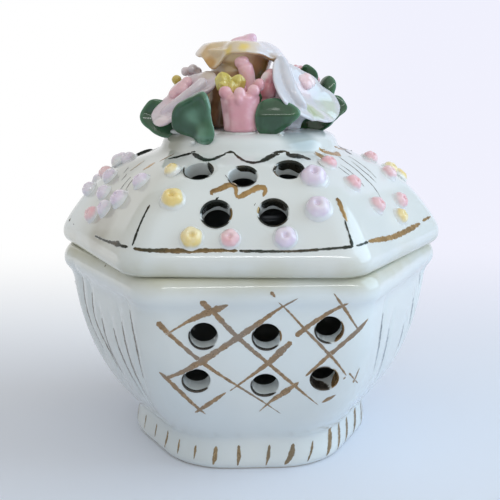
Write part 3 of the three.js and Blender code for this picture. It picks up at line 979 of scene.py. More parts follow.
@dataclass
class LidShell(Vessel):
    """The domed six-sided lid with its round boss, a flange below, and three pierced panels."""

    seat: float = 51.8
    turn: float = LID_TURN
    band_apothem: float = 44.2
    boss_radius: float = 22.3
    boss_height: float = 29.2
    dome_top: float = 24.1
    wall_thickness: float = 3.3
    corner: float = 8.7
    flange: float = 37.3
    flange_thickness: float = 3.0
    flange_depth: float = 4.0
    flange_corner: float = 8.0
    punch: Punch = Punch(3.2, 7.0, 0.45)
    holes: tuple[Hole, ...] = (Hole(-10.8, 73.3), Hole(-0.6, 72.2), Hole(9.8, 73.4), Hole(-6.1, 64.9),
                               Hole(6.3, 65.2))

    def __post_init__(self) -> None:
        """Work out the outer wall."""
        dome = bend((43.1, 5.9), (35.4, 19.6), (23.8, self.dome_top))
        points = [(43.1, 0.0), (44.2, 1.1), (44.2, 3.7), (43.1, 5.9), *dome, (22.9, 24.8), (22.5, 26.2),
                  (21.9, 27.4), (20.6, 28.3), (19.0, 28.8)]
        self.raise_wall([(a, self.seat + z, self.corner_at(a)) for a, z in points], turn=self.turn)

    def corner_at(self, apothem: float) -> float:
        """Give the corner radius where a side stands at an apothem: it grows until the boss is round."""
        share = float(eased(self.band_apothem - apothem, 0, self.band_apothem - self.boss_radius)) ** 3
        return self.corner + (apothem - self.corner) * share

    def build(self) -> Piece:
        """Model the lid, closed and pierced."""
        bore, depth, thick = self.flange - self.flange_thickness, self.flange_depth, self.wall_thickness
        slope_thickness = 4.1
        flange = [(self.flange, 0.0), (self.flange, -depth)]
        inside = [(bore, -depth), (bore, 3.5)]
        inside += [(float(self.wall.apothem(self.seat + z)) - slope_thickness, z - 1.0) for z in (10.8, 15.7, 20.5)]
        inside += [(self.boss_radius - 5, self.dome_top - 1.3), (self.boss_radius - 8.2, self.boss_height - thick)]
        rows = [(a, self.seat + z, self.flange_corner) for a, z in flange]
        rows += [(a, self.seat + z, max(1.0, self.corner_at(a) - 1.8)) for a, z in inside]
        crown = self.seat + self.boss_height
        within = spaced(worn_in([(self.cap, crown - thick, self.cap), *reversed(rows), tuple(self.outer[0])], 2),
                        1.5 * self.cell)
        outer = spaced(self.outer, self.cell)
        boss = [(radius, crown + rise, radius) for radius, rise in ((16.0, 0), (12.0, 0.2), (6.0, 0.37), (0, 0.4))]
        chain = np.vstack([(0, crown - thick, 0), within, outer[1:], *boss])
        inner = (np.arange(len(chain)) < len(within) - 6).astype(float)
        return self.pierced(revolved_hexagon("lid_glazed", chain, self.turn, inner))

    def dress(self, piece: Piece) -> None:
        """Glaze the lid, with painted shade on the boss under the bouquet and on the left panels."""
        glaze = ClearGlaze("lid_glaze", white=(0.76, 0.8, 0.81), pooled=(0.7, 0.755, 0.775), tints=(
            # Painted shade: two patches on the boss under the bouquet, three on the left panels.
            Tint((-20.0, -10.0, 80.0), 9.5, (0.34, 0.35, 0.3), 0.9),
            Tint((11.5, -18.0, 80.0), 6.5, (0.36, 0.44, 0.46), 0.85),
            Tint((-33.0, -24.0, 66.0), 24.0, (0.62, 0.62, 0.56), 0.7),
            Tint((-33.5, -22.0, 59.0), 8.5, (0.42, 0.4, 0.34), 0.7),
            Tint((-29.5, -8.0, 71.5), 8.5, (0.44, 0.45, 0.41), 0.7)))
        dressed(piece, glaze.made(), Body.LID, Slot.WHITE, "lid_shell")


# Gilding


@dataclass(frozen=True)
class Stroke:
    """A brush stroke on a side: points across the side and up it, each with the stroke's width there."""

    side: int
    path: Line

    def ribbon(self, wall: Wall, number: int) -> Piece:
        """Lay the stroke on a wall as a thin closed ribbon.

        Args:
            wall: The wall it is painted on.
            number: A number of its own, which sets its unevenness and its place among crossing strokes.

        Returns:
            The ribbon.
        """
        line = spaced(worn_in(self.path, 2), 0.4)
        count = len(line) - 1
        run = np.concatenate([[0], np.cumsum(np.linalg.norm(np.diff(line[:, :2], axis=0), axis=1))])
        ends = np.sqrt(np.clip(np.minimum(run, run[-1] - run) / 0.4, 0.06, 1))
        uneven = 1 + 0.1 * np.sin(7.1 * number + 2.1 * run) + 0.07 * np.sin(3.3 * number + 5.3 * run)
        half = 0.5 * line[:, 2] * uneven * ends
        heading = unit(np.gradient(line[:, :2], axis=0))
        aside = np.stack([-heading[:, 1], heading[:, 0]], axis=1)
        proud, film = 0.05 + 0.012 * (number % 4), 0.12

        def surface(u: Array, v: Array) -> Array:
            """Place the ribbon's points."""
            row = nearest(u, count)
            shift = (2 * v - 1) * half[row]
            spot = line[row, :2] + aside[row] * shift[:, None]
            crown = proud * (1 - 0.55 * (2 * v - 1) ** 2)
            return wall.place(self.side, spot[:, 0], spot[:, 1], crown)

        def dense(u: Array, v: Array) -> Array:
            """Lay the gold on thickly down the middle of a broad stroke, thinly in a narrow one."""
            width = line[nearest(u, count), 2]
            return (1 - 0.8 * (2 * v - 1) ** 2) * (0.45 + 0.55 * np.clip(width / 1.1, 0, 1))

        return thickened(sheet_piece("stroke", count, 4, surface, dense=dense), film, -1.0)


def drawn(side: int, points: Sequence[Pair], width: float, first: float = 0.5, last: float = 0.3) -> Stroke:
    """Draw a stroke of one width.

    Args:
        side: The side it is on.
        points: Its points across the side and up it.
        width: Its width.
        first: The share of the width that it starts with.
        last: The share of the width that it ends with.

    Returns:
        The stroke.
    """
    (x, z), (low_x, low_z) = points[0], points[-1]
    inner = points[1:-1] or [(0.6 * x + 0.4 * low_x, 0.6 * z + 0.4 * low_z)]
    return Stroke(side, ((x, z, first * width), *((a, b, width) for a, b in inner), (low_x, low_z, last * width)))


def painted(name: str, wall: Wall, strokes: Sequence[Stroke]) -> Piece:
    """Lay a group of strokes on a wall as one piece."""
    return ribbons_joined(name, [stroke.ribbon(wall, number) for number, stroke in enumerate(strokes)])


@dataclass
class JarGilding:
    """The brushed gold lattice, the long strokes of the fluted sides, the foot's strokes and the holes' edges."""

    jar: Jar
    lattice: Lines = (
        ((-21.8, 41.6, 1.3), (-20.2, 40, 1.5), (-18.5, 38.2, 0.9), (-12.2, 31.8, 1.1), (-6, 26.9, 0.7),
         (1, 21.5, 0.5), (5.8, 17.2, 0.2)),
        ((-12.2, 46.9, 0.9), (-11.2, 45.9, 1.9), (-9.2, 43.6, 1.2), (-4.3, 37.9, 1.2), (2.8, 31.2, 0.9),
         (7.4, 26.7, 0.9), (9.4, 24.6, 0.8), (14.5, 19.6, 0.2)),
        ((2.9, 48.8, 0.9), (3.9, 47.6, 0.7)),
        ((4.6, 46.4, 0.2), (5.6, 45.4, 0.5), (10.5, 39.7, 0.6), (15.9, 33.8, 0.9), (18.4, 30.8, 0.6),
         (20.5, 27.5, 0.4)),
        ((16.5, 48.3, 0.3), (18.9, 44.9, 0.9), (20.8, 41.8, 0.6), (23, 38.4, 0.4)),
        ((-21.9, 29, 0.5), (-20.2, 27.6, 1.3), (-13.1, 19, 0.9), (-11.6, 17.4, 0.3)),
        ((-20, 38.7, 0.5), (-16.4, 41, 0.6), (-14.1, 42.3, 1.2), (-9.8, 44.3, 2), (-8.2, 45, 1.8),
         (-6.2, 45.9, 0.6)),
        ((-20.5, 27.5, 0.9), (-15.8, 29.9, 1.1), (-12.2, 32.1, 2), (-8.2, 35, 1.3), (-3.7, 38.2, 1.6),
         (1.6, 42, 1.1), (6, 45.6, 0.6), (8.8, 47.3, 0.2)),
        ((-14.1, 17.9, 0.6), (-11, 20.4, 1.5), (-6.9, 23.8, 0.6)),
        ((-6, 24.2, 0.3), (-1, 28.4, 0.8), (2.8, 31.5, 1.3), (5.2, 34.2, 1.9), (7.7, 36.7, 1)),
        ((8.6, 38, 1.4), (10.5, 39.7, 1.2), (14.4, 42.6, 1), (18.8, 45.4, 0.9), (19.8, 45.9, 0.4)),
        ((0.8, 18, 0.3), (3.1, 20.8, 0.7), (5.8, 23, 1.7), (8.7, 25.5, 1.2), (9.6, 26.4, 0.4)),
        ((11.1, 27.9, 0.6), (16, 33.1, 1.1), (20, 36.8, 1), (22.8, 39.1, 1.3), (24.9, 41.2, 0.4)),
        ((15.2, 20.3, 0.5), (16.8, 21.3, 1.2), (18.4, 22.3, 0.5)),
        ((19.9, 26.5, 0.6), (20.3, 27.2, 0.6)),
        ((21.1, 28.1, 0.5), (23.9, 24, 0.3)),
        ((23.7, 28.7, 0.3), (22.5, 24.7, 0.7)),
    )
    front_foot: tuple[tuple[float, Ring], ...] = (
        (0.75, ((-14.3, 5.9), (-14.9, 2.2))), (1.45, ((-9.4, 6.2), (-9.6, 3.9), (-10.2, 1.4))),
        (1.25, ((-3.9, 6.4), (-3.8, 4.2), (-4.2, 1.2))), (1.1, ((3.6, 6.4), (3.4, 4), (2.7, 1.1))),
        (1.75, ((9.4, 6.5), (9, 3.6), (7.3, 1.2))), (0.8, ((14.4, 6.5), (14, 3.9), (13, 1.4))),
    )
    right_foot: tuple[tuple[float, Ring], ...] = (
        (2, ((-11.4, 8.8), (-11.2, 5.2), (-12.8, 1.2))), (1.9, ((-6.6, 8), (-6.6, 4.8), (-8.2, 1.2))),
        (1.8, ((-1.2, 7.4), (-1.4, 4.4), (-3, 1))), (1.9, ((5, 7.8), (4.6, 4.6), (2.6, 1.2))),
        (1.4, ((10.2, 7.4), (9.8, 4.4), (8.3, 1.2))), (1, ((14.8, 6.8), (14.4, 4), (13.6, 1.4))),
    )
    left_foot: tuple[tuple[float, Ring], ...] = (
        (0.8, ((-12, 6.8), (-12.6, 2.6))), (0.7, ((-5.8, 6.3), (-6.1, 2.6))), (0.8, ((0.7, 6.2), (0.2, 2.4))),
        (1.1, ((7.1, 6.8), (6.9, 4.4), (5.9, 1.7))), (0.8, ((12.1, 6.3), (11.8, 2.3))),
    )
    # Gold round the holes and down their skins, painted near-black: gilding, with painted dark reflection and painted
    # shade in the holes.
    dark_reflection_linings: tuple[Lining, ...] = (
        Lining(0, (150, 320), (0.1, 0.75)), Lining(1, (140, 330), (0.1, 0.8)), Lining(2, (160, 285), (0.1, 0.7)),
        Lining(3, (135, 330), (0.1, 0.8)), Lining(4, (150, 325), (0.1, 0.7)), Lining(5, (62, 305), (0.1, 3.6)),
    )
    gold_linings: tuple[Lining, ...] = (
        Lining(2, (-70, 40), (0.15, 1.9)), Lining(5, (-60, 60), (0.15, 3.4)), Lining(1, (-20, 30), (0.1, 0.6)),
    )

    def build(self) -> Group:
        """Model the strokes, grouped as they are painted."""
        wall = self.jar.wall
        lattice = [Stroke(side, path) for side in self.jar.pierced_sides for path in self.lattice]
        front = [drawn(side, path, width) for side in self.jar.pierced_sides for width, path in self.front_foot]
        right = [drawn(side, path, width) for side in (1, 3) for width, path in self.right_foot]
        left = [drawn(5, path, width) for width, path in self.left_foot]
        return {
            "lattice": painted("jar_gilt_lattice", wall, lattice),
            # The left and rear strokes are darker brown as painted shade, the right side's lighter blue-grey as painted
            # light.
            "left": painted("jar_gilt_left", wall, [drawn(side, path, 0.95) for side in (5, 3)
                                                    for path in self.jar.left_flutes]),
            "right": painted("jar_gilt_right", wall, [drawn(1, path, 1.1) for path in self.jar.right_flutes]),
            "foot": painted("jar_gilt_foot", wall, front + right + left),
            "dark_reflection_holes": self.jar.lined("jar_gilt_holes", self.dark_reflection_linings),
            "gold_holes": self.jar.lined("jar_gilt_holes_gold", self.gold_linings),
        }

    def dress(self, pieces: Group) -> None:
        """Gild the strokes."""
        finishes = {
            "lattice": Gilt("gilt_lattice", (0.38, 0.25, 0.14), (0.3, 0.235, 0.18)),
            # Left copy darker as painted shade, right copy lighter and bluer as painted light.
            "left": Gilt("gilt_left", (0.2, 0.17, 0.14), (0.24, 0.22, 0.2), wear=0.9, metal=0.35),
            "right": Gilt("gilt_right", (0.22, 0.25, 0.27), (0.3, 0.35, 0.38), wear=0.9, metal=0.35),
            "foot": Gilt("gilt_foot", (0.36, 0.25, 0.13), (0.24, 0.18, 0.11)),
            # Near-black gold for the holes: painted dark reflection and shade.
            "dark_reflection_holes": Gilt("gilt_holes", (0.09, 0.075, 0.06), (0.04, 0.035, 0.03), wear=0.7),
            "gold_holes": Gilt("gilt_holes_gold", (0.42, 0.25, 0.1), (0.18, 0.11, 0.06), wear=0.4, metal=0.6),
        }
        gilded(pieces, finishes, Body.JAR)


@dataclass
class LidGilding:
    """The scalloped line under the boss, the scroll, the curved strokes, the corner lines and the edge line."""

    lid: LidShell
    scallop: Lines = (
        ((-13, 76.6, 1.2), (-11.5, 75.6, 1.5), (-9.2, 75, 0.8), (-7, 75.5, 0.9), (-4.8, 76.5, 0.7),
         (-3.4, 77, 0.9), (-2.5, 76.2, 0.8), (-0.9, 75.2, 0.7), (1.1, 74.7, 0.7), (3.1, 74.8, 0.8), (5.1, 75.6, 1.6),
         (7.1, 76.6, 1.5), (8.6, 76.9, 0.9), (9.3, 76.9, 0.7)),
        ((9.1, 76.8, 0.8), (9.8, 76, 1.6), (12, 75.8, 1.4), (13.7, 75.4, 0.8), (15, 75, 0.5)),
        ((6.2, 73.2, 1), (7.1, 74.1, 0.8)), ((-6.4, 67.5, 0.9), (-5.7, 68.1, 0.7)),
        ((2.1, 66.5, 0.9), (2.4, 66.9, 0.7)), ((-4.6, 72.4, 0.3), (-3.6, 71.4, 0.4)),
    )
    left_scallop: Line = ((6.7, 74.9, 0.5), (8.1, 75.3, 0.8), (9.4, 76, 1), (10.4, 76.4, 1.2))
    zigzag: Lines = (
        ((-7.9, 75, 1.1), (-6.8, 75.5, 1.7), (-5.7, 75.9, 1.1)),
        ((-4.1, 77.3, 0.8), (-4.3, 76.5, 1.1), (-2, 75.9, 1.2), (-0.4, 75.2, 1), (2.4, 75.7, 0.6)),
    )
    scroll: Line = (
        (-7, 68.5, 0.6), (-7.7, 69.1, 0.9), (-5.9, 69.5, 1.1), (-4, 70.4, 1.2), (-2.4, 70.5, 1),
        (-1.9, 69.6, 0.9), (-2, 68.6, 0.9), (-1.5, 68, 0.9), (-0.1, 68.6, 1.1), (2.3, 69.8, 1.3),
        (4.1, 70.1, 1.2), (4.7, 69.5, 1), (4, 68.2, 0.6))
    left_curves: Lines = (
        ((-6.4, 71.9, 0.4), (-5.8, 71.2, 0.6), (-5.4, 70.6, 0.3)), ((-6.2, 69.9, 0.6), (-6, 69.6, 0.5)),
        ((-3.2, 70.7, 0.4), (-2.8, 69.9, 0.5), (-2.7, 69.2, 0.3)),
        ((0.6, 70.3, 0.4), (0.8, 69, 0.5), (1.1, 68, 0.5), (1.7, 66.9, 0.3)),
        ((2.6, 70.8, 0.4), (3.1, 69.8, 0.5), (3.6, 68.7, 0.5), (4.5, 67.7, 0.3)))
    gold_curves: Lines = (
        ((-2.5, 73.8, 0.4), (-2.7, 72.7, 0.5), (-3.1, 71.4, 0.3)),
        ((4.3, 73.8, 1), (3.6, 73, 1.4), (2.9, 72.1, 0.7)),
        ((5.3, 75.9, 0.5), (5.3, 75, 0.8), (5.4, 74.2, 0.6)))
    right_curves: tuple[Ring, ...] = (
        ((-0.8, 75.1), (-1.4, 73.8), (-1.1, 72.3), (-1.2, 70), (-0.7, 68.2), (-1.7, 65.6)),
        ((-5.4, 73.5), (-4.8, 72.3), (-4.8, 70.3), (-5.3, 68.7)), ((-7.5, 73.2), (-7.4, 72.2), (-6.9, 71.1)),
        ((3.8, 74.7), (4, 73.3), (4.4, 71.6), (4.2, 69.6)), ((1.6, 73.7), (1.3, 71.9), (1.9, 70.4), (2.1, 68.8)))
    front_edge: Lines = (
        ((-1, 57.7, 0.6), (2, 57.6, 0.65), (10, 57.6, 0.55), (14, 57.8, 0.6), (18.4, 58.2, 0.55),
         (23.4, 58.5, 0.7)),
        ((21.7, 63.6, 0.4), (22.2, 61.8, 0.5), (22.8, 60.2, 0.5), (23.2, 58.4, 1)))
    brown_edge: Lines = (
        ((-23.8, 57.9, 0.6), (-20, 57.7, 0.9), (-12, 57.6, 1.1), (-7, 57.8, 0.9), (-1.2, 57.7, 0.7)),)
    left_edge: Lines = (
        ((-19.4, 57.6, 1.1), (-18.6, 57.6, 1)), ((-15, 57.2, 0.8), (-14.4, 57.2, 0.8)),
        ((3.1, 57.2, 0.5), (10, 57.3, 0.5), (16, 57.7, 0.8), (17.8, 57.9, 1.6), (20, 57.9, 0.6),
         (23, 58, 0.6)),
        ((20.3, 66.4, 0.45), (21.2, 64.8, 0.55), (22.1, 62.6, 0.5), (23.1, 60.4, 0.6), (23.9, 58.4, 0.6)))
    right_edge: Line = ((-23.8, 58.5, 0.5), (-22.7, 58.6, 0.5), (-21.4, 58.7, 0.5), (-19.8, 58.8, 0.6))
    gold_edge: Lines = (
        ((-19.6, 58.8, 0.7), (-13.7, 58.3, 1.2), (-8.7, 57.8, 1.1), (-4.4, 57.7, 1.3), (0.1, 57.7, 1.2),
         (5.6, 57.9, 1.3), (11.4, 58.1, 0.6)),
        ((13.5, 58.4, 0.5), (16.7, 58.5, 0.8), (19.9, 58.6, 0.4)),
        ((-19.3, 67.8, 0.7), (-20.2, 66.6, 1), (-21.3, 64.9, 0.9), (-22.1, 63.2, 0.5)),
        ((3.7, 76.9, 0.4), (5.5, 76.4, 0.9), (11.8, 75.6, 0.4)))
    # Gold round the holes and down their skins, painted near-black: gilding, with painted dark reflection and painted
    # shade in the holes.
    dark_reflection_linings: tuple[Lining, ...] = (
        Lining(0, (-60, 60), (0.1, 2.6)), Lining(0, (150, 330), (0.1, 0.6)), Lining(1, (20, 120), (0.1, 1.6)),
        Lining(1, (190, 340), (0.1, 0.7)), Lining(2, (-40, 150), (0.1, 2.8)), Lining(3, (30, 190), (0.1, 2.8)),
        Lining(4, (10, 150), (0.1, 3)), Lining(3, (200, 330), (0.05, 0.6)), Lining(4, (190, 340), (0.05, 0.6)))
    gold_linings: tuple[Lining, ...] = (
        Lining(2, (155, 230), (0.1, 1.8)), Lining(3, (-30, 25), (0.1, 1.8)), Lining(4, (155, 185), (0.1, 1.6)))

    def build(self) -> Group:
        """Model the strokes, grouped as they are painted."""
        wall, pierced_sides = self.lid.wall, self.lid.pierced_sides
        thin = tuple(tuple((x, z, 0.72 * width) for x, z, width in path) for path in self.scallop)
        dark = [Stroke(side, path) for side in pierced_sides for path in (*thin, *self.front_edge)]
        dark += [Stroke(side, path) for side in (1, 3) for path in (self.left_scallop, self.right_edge)]
        dark += [Stroke(5, path) for path in (self.left_scallop, *self.left_edge)]
        gold = [Stroke(side, self.scroll) for side in pierced_sides]
        gold += [Stroke(side, path) for side in (1, 3) for path in (*self.zigzag, *self.gold_edge)]
        gold += [Stroke(5, path) for path in self.gold_curves]
        grey = [Stroke(5, path) for path in self.left_curves]
        grey += [drawn(side, path, 0.5) for side in (1, 3) for path in self.right_curves]
        return {
            "dark": painted("lid_gilt_scallops", wall, dark),
            "edge": painted("lid_gilt_edge", wall, [Stroke(side, path) for side in pierced_sides
                                                    for path in self.brown_edge]),
            "gold": painted("lid_gilt_scroll", wall, gold),
            "grey": painted("lid_gilt_curves", wall, grey),
            "dark_reflection_holes": self.lid.lined("lid_gilt_holes", self.dark_reflection_linings),
            "gold_holes": self.lid.lined("lid_gilt_holes_gold", self.gold_linings),
        }

    def dress(self, pieces: Group) -> None:
        """Gild the strokes."""
        finishes = {
            "dark": Gilt("gilt_scallops", (0.085, 0.06, 0.035), (0.025, 0.03, 0.024), wear=0.9),
            "edge": Gilt("gilt_edge", (0.17, 0.11, 0.045), (0.06, 0.055, 0.035), wear=0.6),
            "gold": Gilt("gilt_scroll", (0.46, 0.29, 0.12), (0.2, 0.12, 0.05), wear=0.35, metal=0.6),
            "grey": Gilt("gilt_curves", (0.22, 0.21, 0.17), (0.12, 0.11, 0.09), wear=0.7, metal=0.35),
            # Near-black gold for the holes: painted dark reflection and shade.
            "dark_reflection_holes": Gilt("gilt_lid_holes", (0.07, 0.055, 0.035), (0.03, 0.035, 0.03), wear=0.8),
            "gold_holes": Gilt("gilt_lid_holes_gold", (0.36, 0.24, 0.1), (0.16, 0.1, 0.05), wear=0.4, metal=0.6),
        }
        gilded(pieces, finishes, Body.LID)


# Rosettes


@dataclass
class Rosettes:
    """The small clay dots pressed on to the lid's panels, each in a collar of pooled glaze."""

    lid: LidShell
    rise: float = 0.8
    facets: int = 28
    panels: tuple[tuple[str, int, dict[str, Line]], ...] = field(init=False)

    def __post_init__(self) -> None:
        """List the dots of each panel, as distance across, height above the seat, and radius."""
        front = {
            "yellow": ((-16, 15.8, 2.5), (-11.1, 8.4, 2.4)),
            "pink": ((-2.9, 8.2, 2.1),),
            "lilac": ((8.9, 8.3, 2.4), (15.8, 14.2, 2.7), (15.3, 19.8, 2.9)),
        }
        right = {
            "pink": ((-9.4, 22.1, 2), (-9.8, 17.8, 2.1), (-6.5, 12.9, 2.1), (6.6, 12.2, 2.1), (12.3, 18, 2.1),
                     (14.5, 21.3, 2)),
            "yellow": ((1.9, 9.3, 2), (17.5, 18.5, 2)),
        }
        left = {
            "pink": ((-4.7, 9, 2.1), (-17, 17.7, 2)),
            "lilac": ((-10.8, 17.4, 2), (9, 18.2, 2.1), (-6.3, 13.9, 2), (5.5, 14.1, 2.3), (0.9, 11.2, 2.1),
                      (-15.6, 21, 2), (-17.5, 13.6, 2)),
            "yellow": ((15, 21, 1.9),),
        }
        self.panels = (("front", 0, front), ("right", 1, right), ("left", 5, left), ("rear_right", 2, front),
                       ("rear", 3, right), ("rear_left", 4, front))

    def dot(self, side: int, place: Triple, number: int) -> Piece:
        """Model one dot on a side: a dimpled button with five soft lobes and a glaze collar."""
        across, above, radius = place
        height = self.lid.seat + above
        centre = self.lid.wall.place(side, across, height)
        axes = basis(self.lid.wall.away(side, height))
        profile = worn_in([(0, 0.84), (0.12, 0.86), (0.32, 1.16), (0.6, 1.1), (0.92, 0.7), (1.02, 0.24),
                           (1.14, 0.04), (1.32, -0.12), (0.9, -0.5), (0, -0.5)], 2)
        rows = len(profile) - 1
        twist = 1.7 * number

        def surface(u: Array, v: Array) -> Array:
            """Turn the button's profile, with lobes at its shoulder."""
            row = nearest(v, rows)
            reach, up = profile[row, 0], profile[row, 1]
            angle = 2 * math.pi * u
            shoulder = np.clip(up / 0.5, 0, 1) * np.clip(reach, 0, 1)
            lobes = 1 + 0.035 * np.cos(5 * angle + twist + 2.4 * reach) * shoulder + 0.05 * np.cos(angle + twist)
            tilt = 0.07 * reach * np.cos(angle + 2 * twist) + 0.05 * np.cos(4 * angle + twist + 3 * reach) * shoulder
            spot = radius * reach * lobes
            return swept(centre, axes, angle, spot, radius * (up * self.rise + tilt * (up > 0)))

        piece = close_up(sheet_piece("rosette", self.facets, rows, surface))
        above_skin = (coordinates(piece) / MM - centre) @ axes[2] / radius
        tagged(piece, "pool", above_skin)
        return piece

    def build(self) -> dict[tuple[str, str], Piece]:
        """Model the dots of each panel and colour."""
        made = {}
        number = 0
        for panel, side, dots in self.panels:
            for colour, places in dots.items():
                group = []
                for place in places:
                    group.append(self.dot(side, place, number))
                    number += 1
                made[panel, colour] = smooth_shaded(joined(f"rosettes_{panel}_{colour}", group), 60)
        return made

    def dress(self, pieces: dict[tuple[str, str], Piece]) -> None:
        """Glaze the dots by colour."""
        colours = {
            "yellow": (Slot.YELLOW, (0.86, 0.67, 0.26), (0.92, 0.8, 0.5)),
            "pink": (Slot.PINK, (0.85, 0.5, 0.55), (0.9, 0.68, 0.72)),
            "lilac": (Slot.LILAC, (0.78, 0.68, 0.85), (0.84, 0.79, 0.9)),
        }
        glazes = {name: PaintedGlaze(f"rosette_{name}", *colour, pooled="pool").made()
                  for name, colour in colours.items()}
        for (panel, colour), piece in pieces.items():
            nodes = [node for node in sorted(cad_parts) if node.startswith(f"dot_{panel}_{colour}_")]
            dressed(piece, glazes[colour], Body.LID, colours[colour][0], *nodes)


# Bouquet. Its places are stated in the lid's own frame, with heights above the boss.


@dataclass(frozen=True)
class Seat:
    """Where the bouquet stands: the boss's height and the lid's turn."""

    height: float = 81.0
    turn: float = LID_TURN

    def placed(self, places: Array) -> Array:
        """Carry places from the lid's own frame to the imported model's frame."""
        cos, sin = math.cos(self.turn), math.sin(self.turn)
        x, y, z = places[..., 0], places[..., 1], places[..., 2]
        return np.stack([x * cos - y * sin, x * sin + y * cos, z + self.height], axis=-1)

    def spot(self, place: Triple) -> Triple:
        """Carry one place, for a tint."""
        return tuple(float(v) for v in self.placed(np.array(place, float)))


SEAT = Seat()
UP: Triple = (0, 0, 1)
ROD_STEP = 0.45
ROD_FACETS = 32


def around(*reaches: float) -> Ring:
    """Give an outline's points from its reach at even steps round its middle."""
    step = 2 * math.pi / len(reaches)
    return tuple((reach * math.cos(k * step), reach * math.sin(k * step)) for k, reach in enumerate(reaches))


def daub(place: Triple, reach: float, colour: Colour, strength: float) -> Tint:
    """Tint the clay round a place in the lid's own frame."""
    return Tint(SEAT.spot(place), reach, colour, strength)


def traced(ring: Ring) -> Callable[[Array], Array]:
    """Give an outline's reach by angle.

    Args:
        ring: The outline's points, in order round the middle.

    Returns:
        The reach in millimetres for angles in radians, with the outline's corners worn.
    """
    x, y = np.array(ring, float).T
    steps = np.radians(np.arange(0, 360, 4))
    reach = np.interp(steps, np.arctan2(y, x), np.hypot(x, y), period=2 * math.pi)
    for _ in range(3):
        reach = (np.roll(reach, 1) + 2 * reach + np.roll(reach, -1)) / 4
    return lambda angle: np.interp(angle, steps, reach, period=2 * math.pi)


def blob(place: Triple, size: Triple, towards: Triple = UP) -> Piece:
    """Add a ball drawn out along a direction, as a lump of clay."""
    piece = ball(size, 20, 12)
    turned = coordinates(piece) / MM @ basis(towards, (0, 1, 0.01) if abs(towards[2]) > 0.9 else UP)
    set_coordinates(piece, SEAT.placed(turned + np.array(place)) * MM)
    return piece


def rod(path: Sequence[Triple], radii: Sequence[float], ribs: float = 0.0, count: int = 5,
        phase: float = 0.0) -> Piece:
    """Roll clay into a rod along a path.

    Args:
        path: Points along its middle.
        radii: Its radius at each of them.
        ribs: Depth of grooves down its sides, as a share of its radius.
        count: How many grooves.
        phase: Where the first ridge lies.

    Returns:
        The closed rod, with rounded ends.
    """
    chain = worn_in([(*point, radius) for point, radius in zip(path, radii)], 2)
    chain = spaced(chain, ROD_STEP, 3)
    heading = unit(np.gradient(chain[:, :3], axis=0))
    rows = len(chain) - 1

    def surface(u: Array, v: Array) -> Array:
        """Turn the rod's radius round its path."""
        row = nearest(v, rows)
        angle = 2 * math.pi * u
        axis = heading[row]
        second = unit(np.cross(axis, np.array([0.05, 1.0, 0.02])))
        third = np.cross(axis, second)
        end = np.minimum(row, rows - row)
        reach = chain[row, 3] * np.where(end == 0, 0.0, np.minimum(1, np.sqrt(end / 3))) \
            * (1 + ribs * (np.cos(count * angle + phase) - 1) / 2)
        return SEAT.placed(chain[row, :3] + (reach * np.cos(angle))[:, None] * third
                           + (reach * np.sin(angle))[:, None] * second)

    return close_up(sheet_piece("rod", ROD_FACETS, rows, surface))


def pad(centre: Triple, axes: Array, ring: Ring, thickness: float,
        lift: Callable[[Array, Array, Array], Array], pale: Callable[[Array, Array, Array], Array] | None = None
        ) -> Piece:
    """Press a ball of clay into a thin pad and bend it.

    Args:
        centre: The pad's middle.
        axes: Its length, its width and the way it faces, as rows.
        ring: Its outline's points along its length and width.
        thickness: Its thickness.
        lift: Gives how far it is bent towards the way it faces, for its length, its width and the share of the
            way out to its edge.
        pale: Gives how thin the glaze lies, for the same three.

    Returns:
        The closed pad, tagged "thin" where the glaze lies thinly.
    """
    deselect()
    bpy.ops.mesh.primitive_uv_sphere_add(segments=72, ring_count=36, radius=1)
    piece = bpy.context.object
    x, y, z = coordinates(piece).T
    share = np.clip(np.hypot(x, y), 0, 1)
    angle = np.arctan2(y, x)
    reach = share * traced(ring)(angle)
    along, across = reach * np.cos(angle), reach * np.sin(angle)
    up = np.sign(z) * 0.5 * thickness * np.sqrt(np.clip(1 - share ** 4, 0, 1)) + lift(along, across, share)
    local = np.stack([along, across, up], axis=1)
    set_coordinates(piece, SEAT.placed(local @ axes + np.array(centre)) * MM)
    if pale:
        tagged(piece, "thin", pale(along, across, share))
    return piece


def facing(along: Triple, faces: Triple) -> Array:
    """Give a pad's length, its width and the way it faces, as rows."""
    length = unit(np.array(along, float))
    face = np.array(faces, float)
    face = unit(face - length * (face @ length))
    return np.stack([length, np.cross(face, length), face])


def fused(name: str, parts: Sequence[Piece], voxel: float = 0.26, smoothing: int = 4) -> Piece:
    """Press lumps of clay into one form, with the joins filled by glaze.

    Args:
        name: The form's name.
        parts: The overlapping closed lumps.
        voxel: The size of its cells, in millimetres.
        smoothing: Rounds of smoothing.

    Returns:
        The form.
    """
    whole = joined(name, parts)
    modified(whole, "REMESH", mode="VOXEL", voxel_size=voxel * MM)
    modified(whole, "SMOOTH", factor=0.5, iterations=smoothing)
    take(whole)
    bpy.ops.object.shade_smooth()
    return whole


PLAIN_LEAF: Ring = ((5.6, 0), (4.8, 1.8), (2.6, 3.7), (-0.6, 4.4), (-4, 3.4), (-5.8, 1.4), (-5.8, -1.4),
                    (-4, -3.4), (-0.6, -4.4), (2.6, -3.7), (4.8, -1.8))


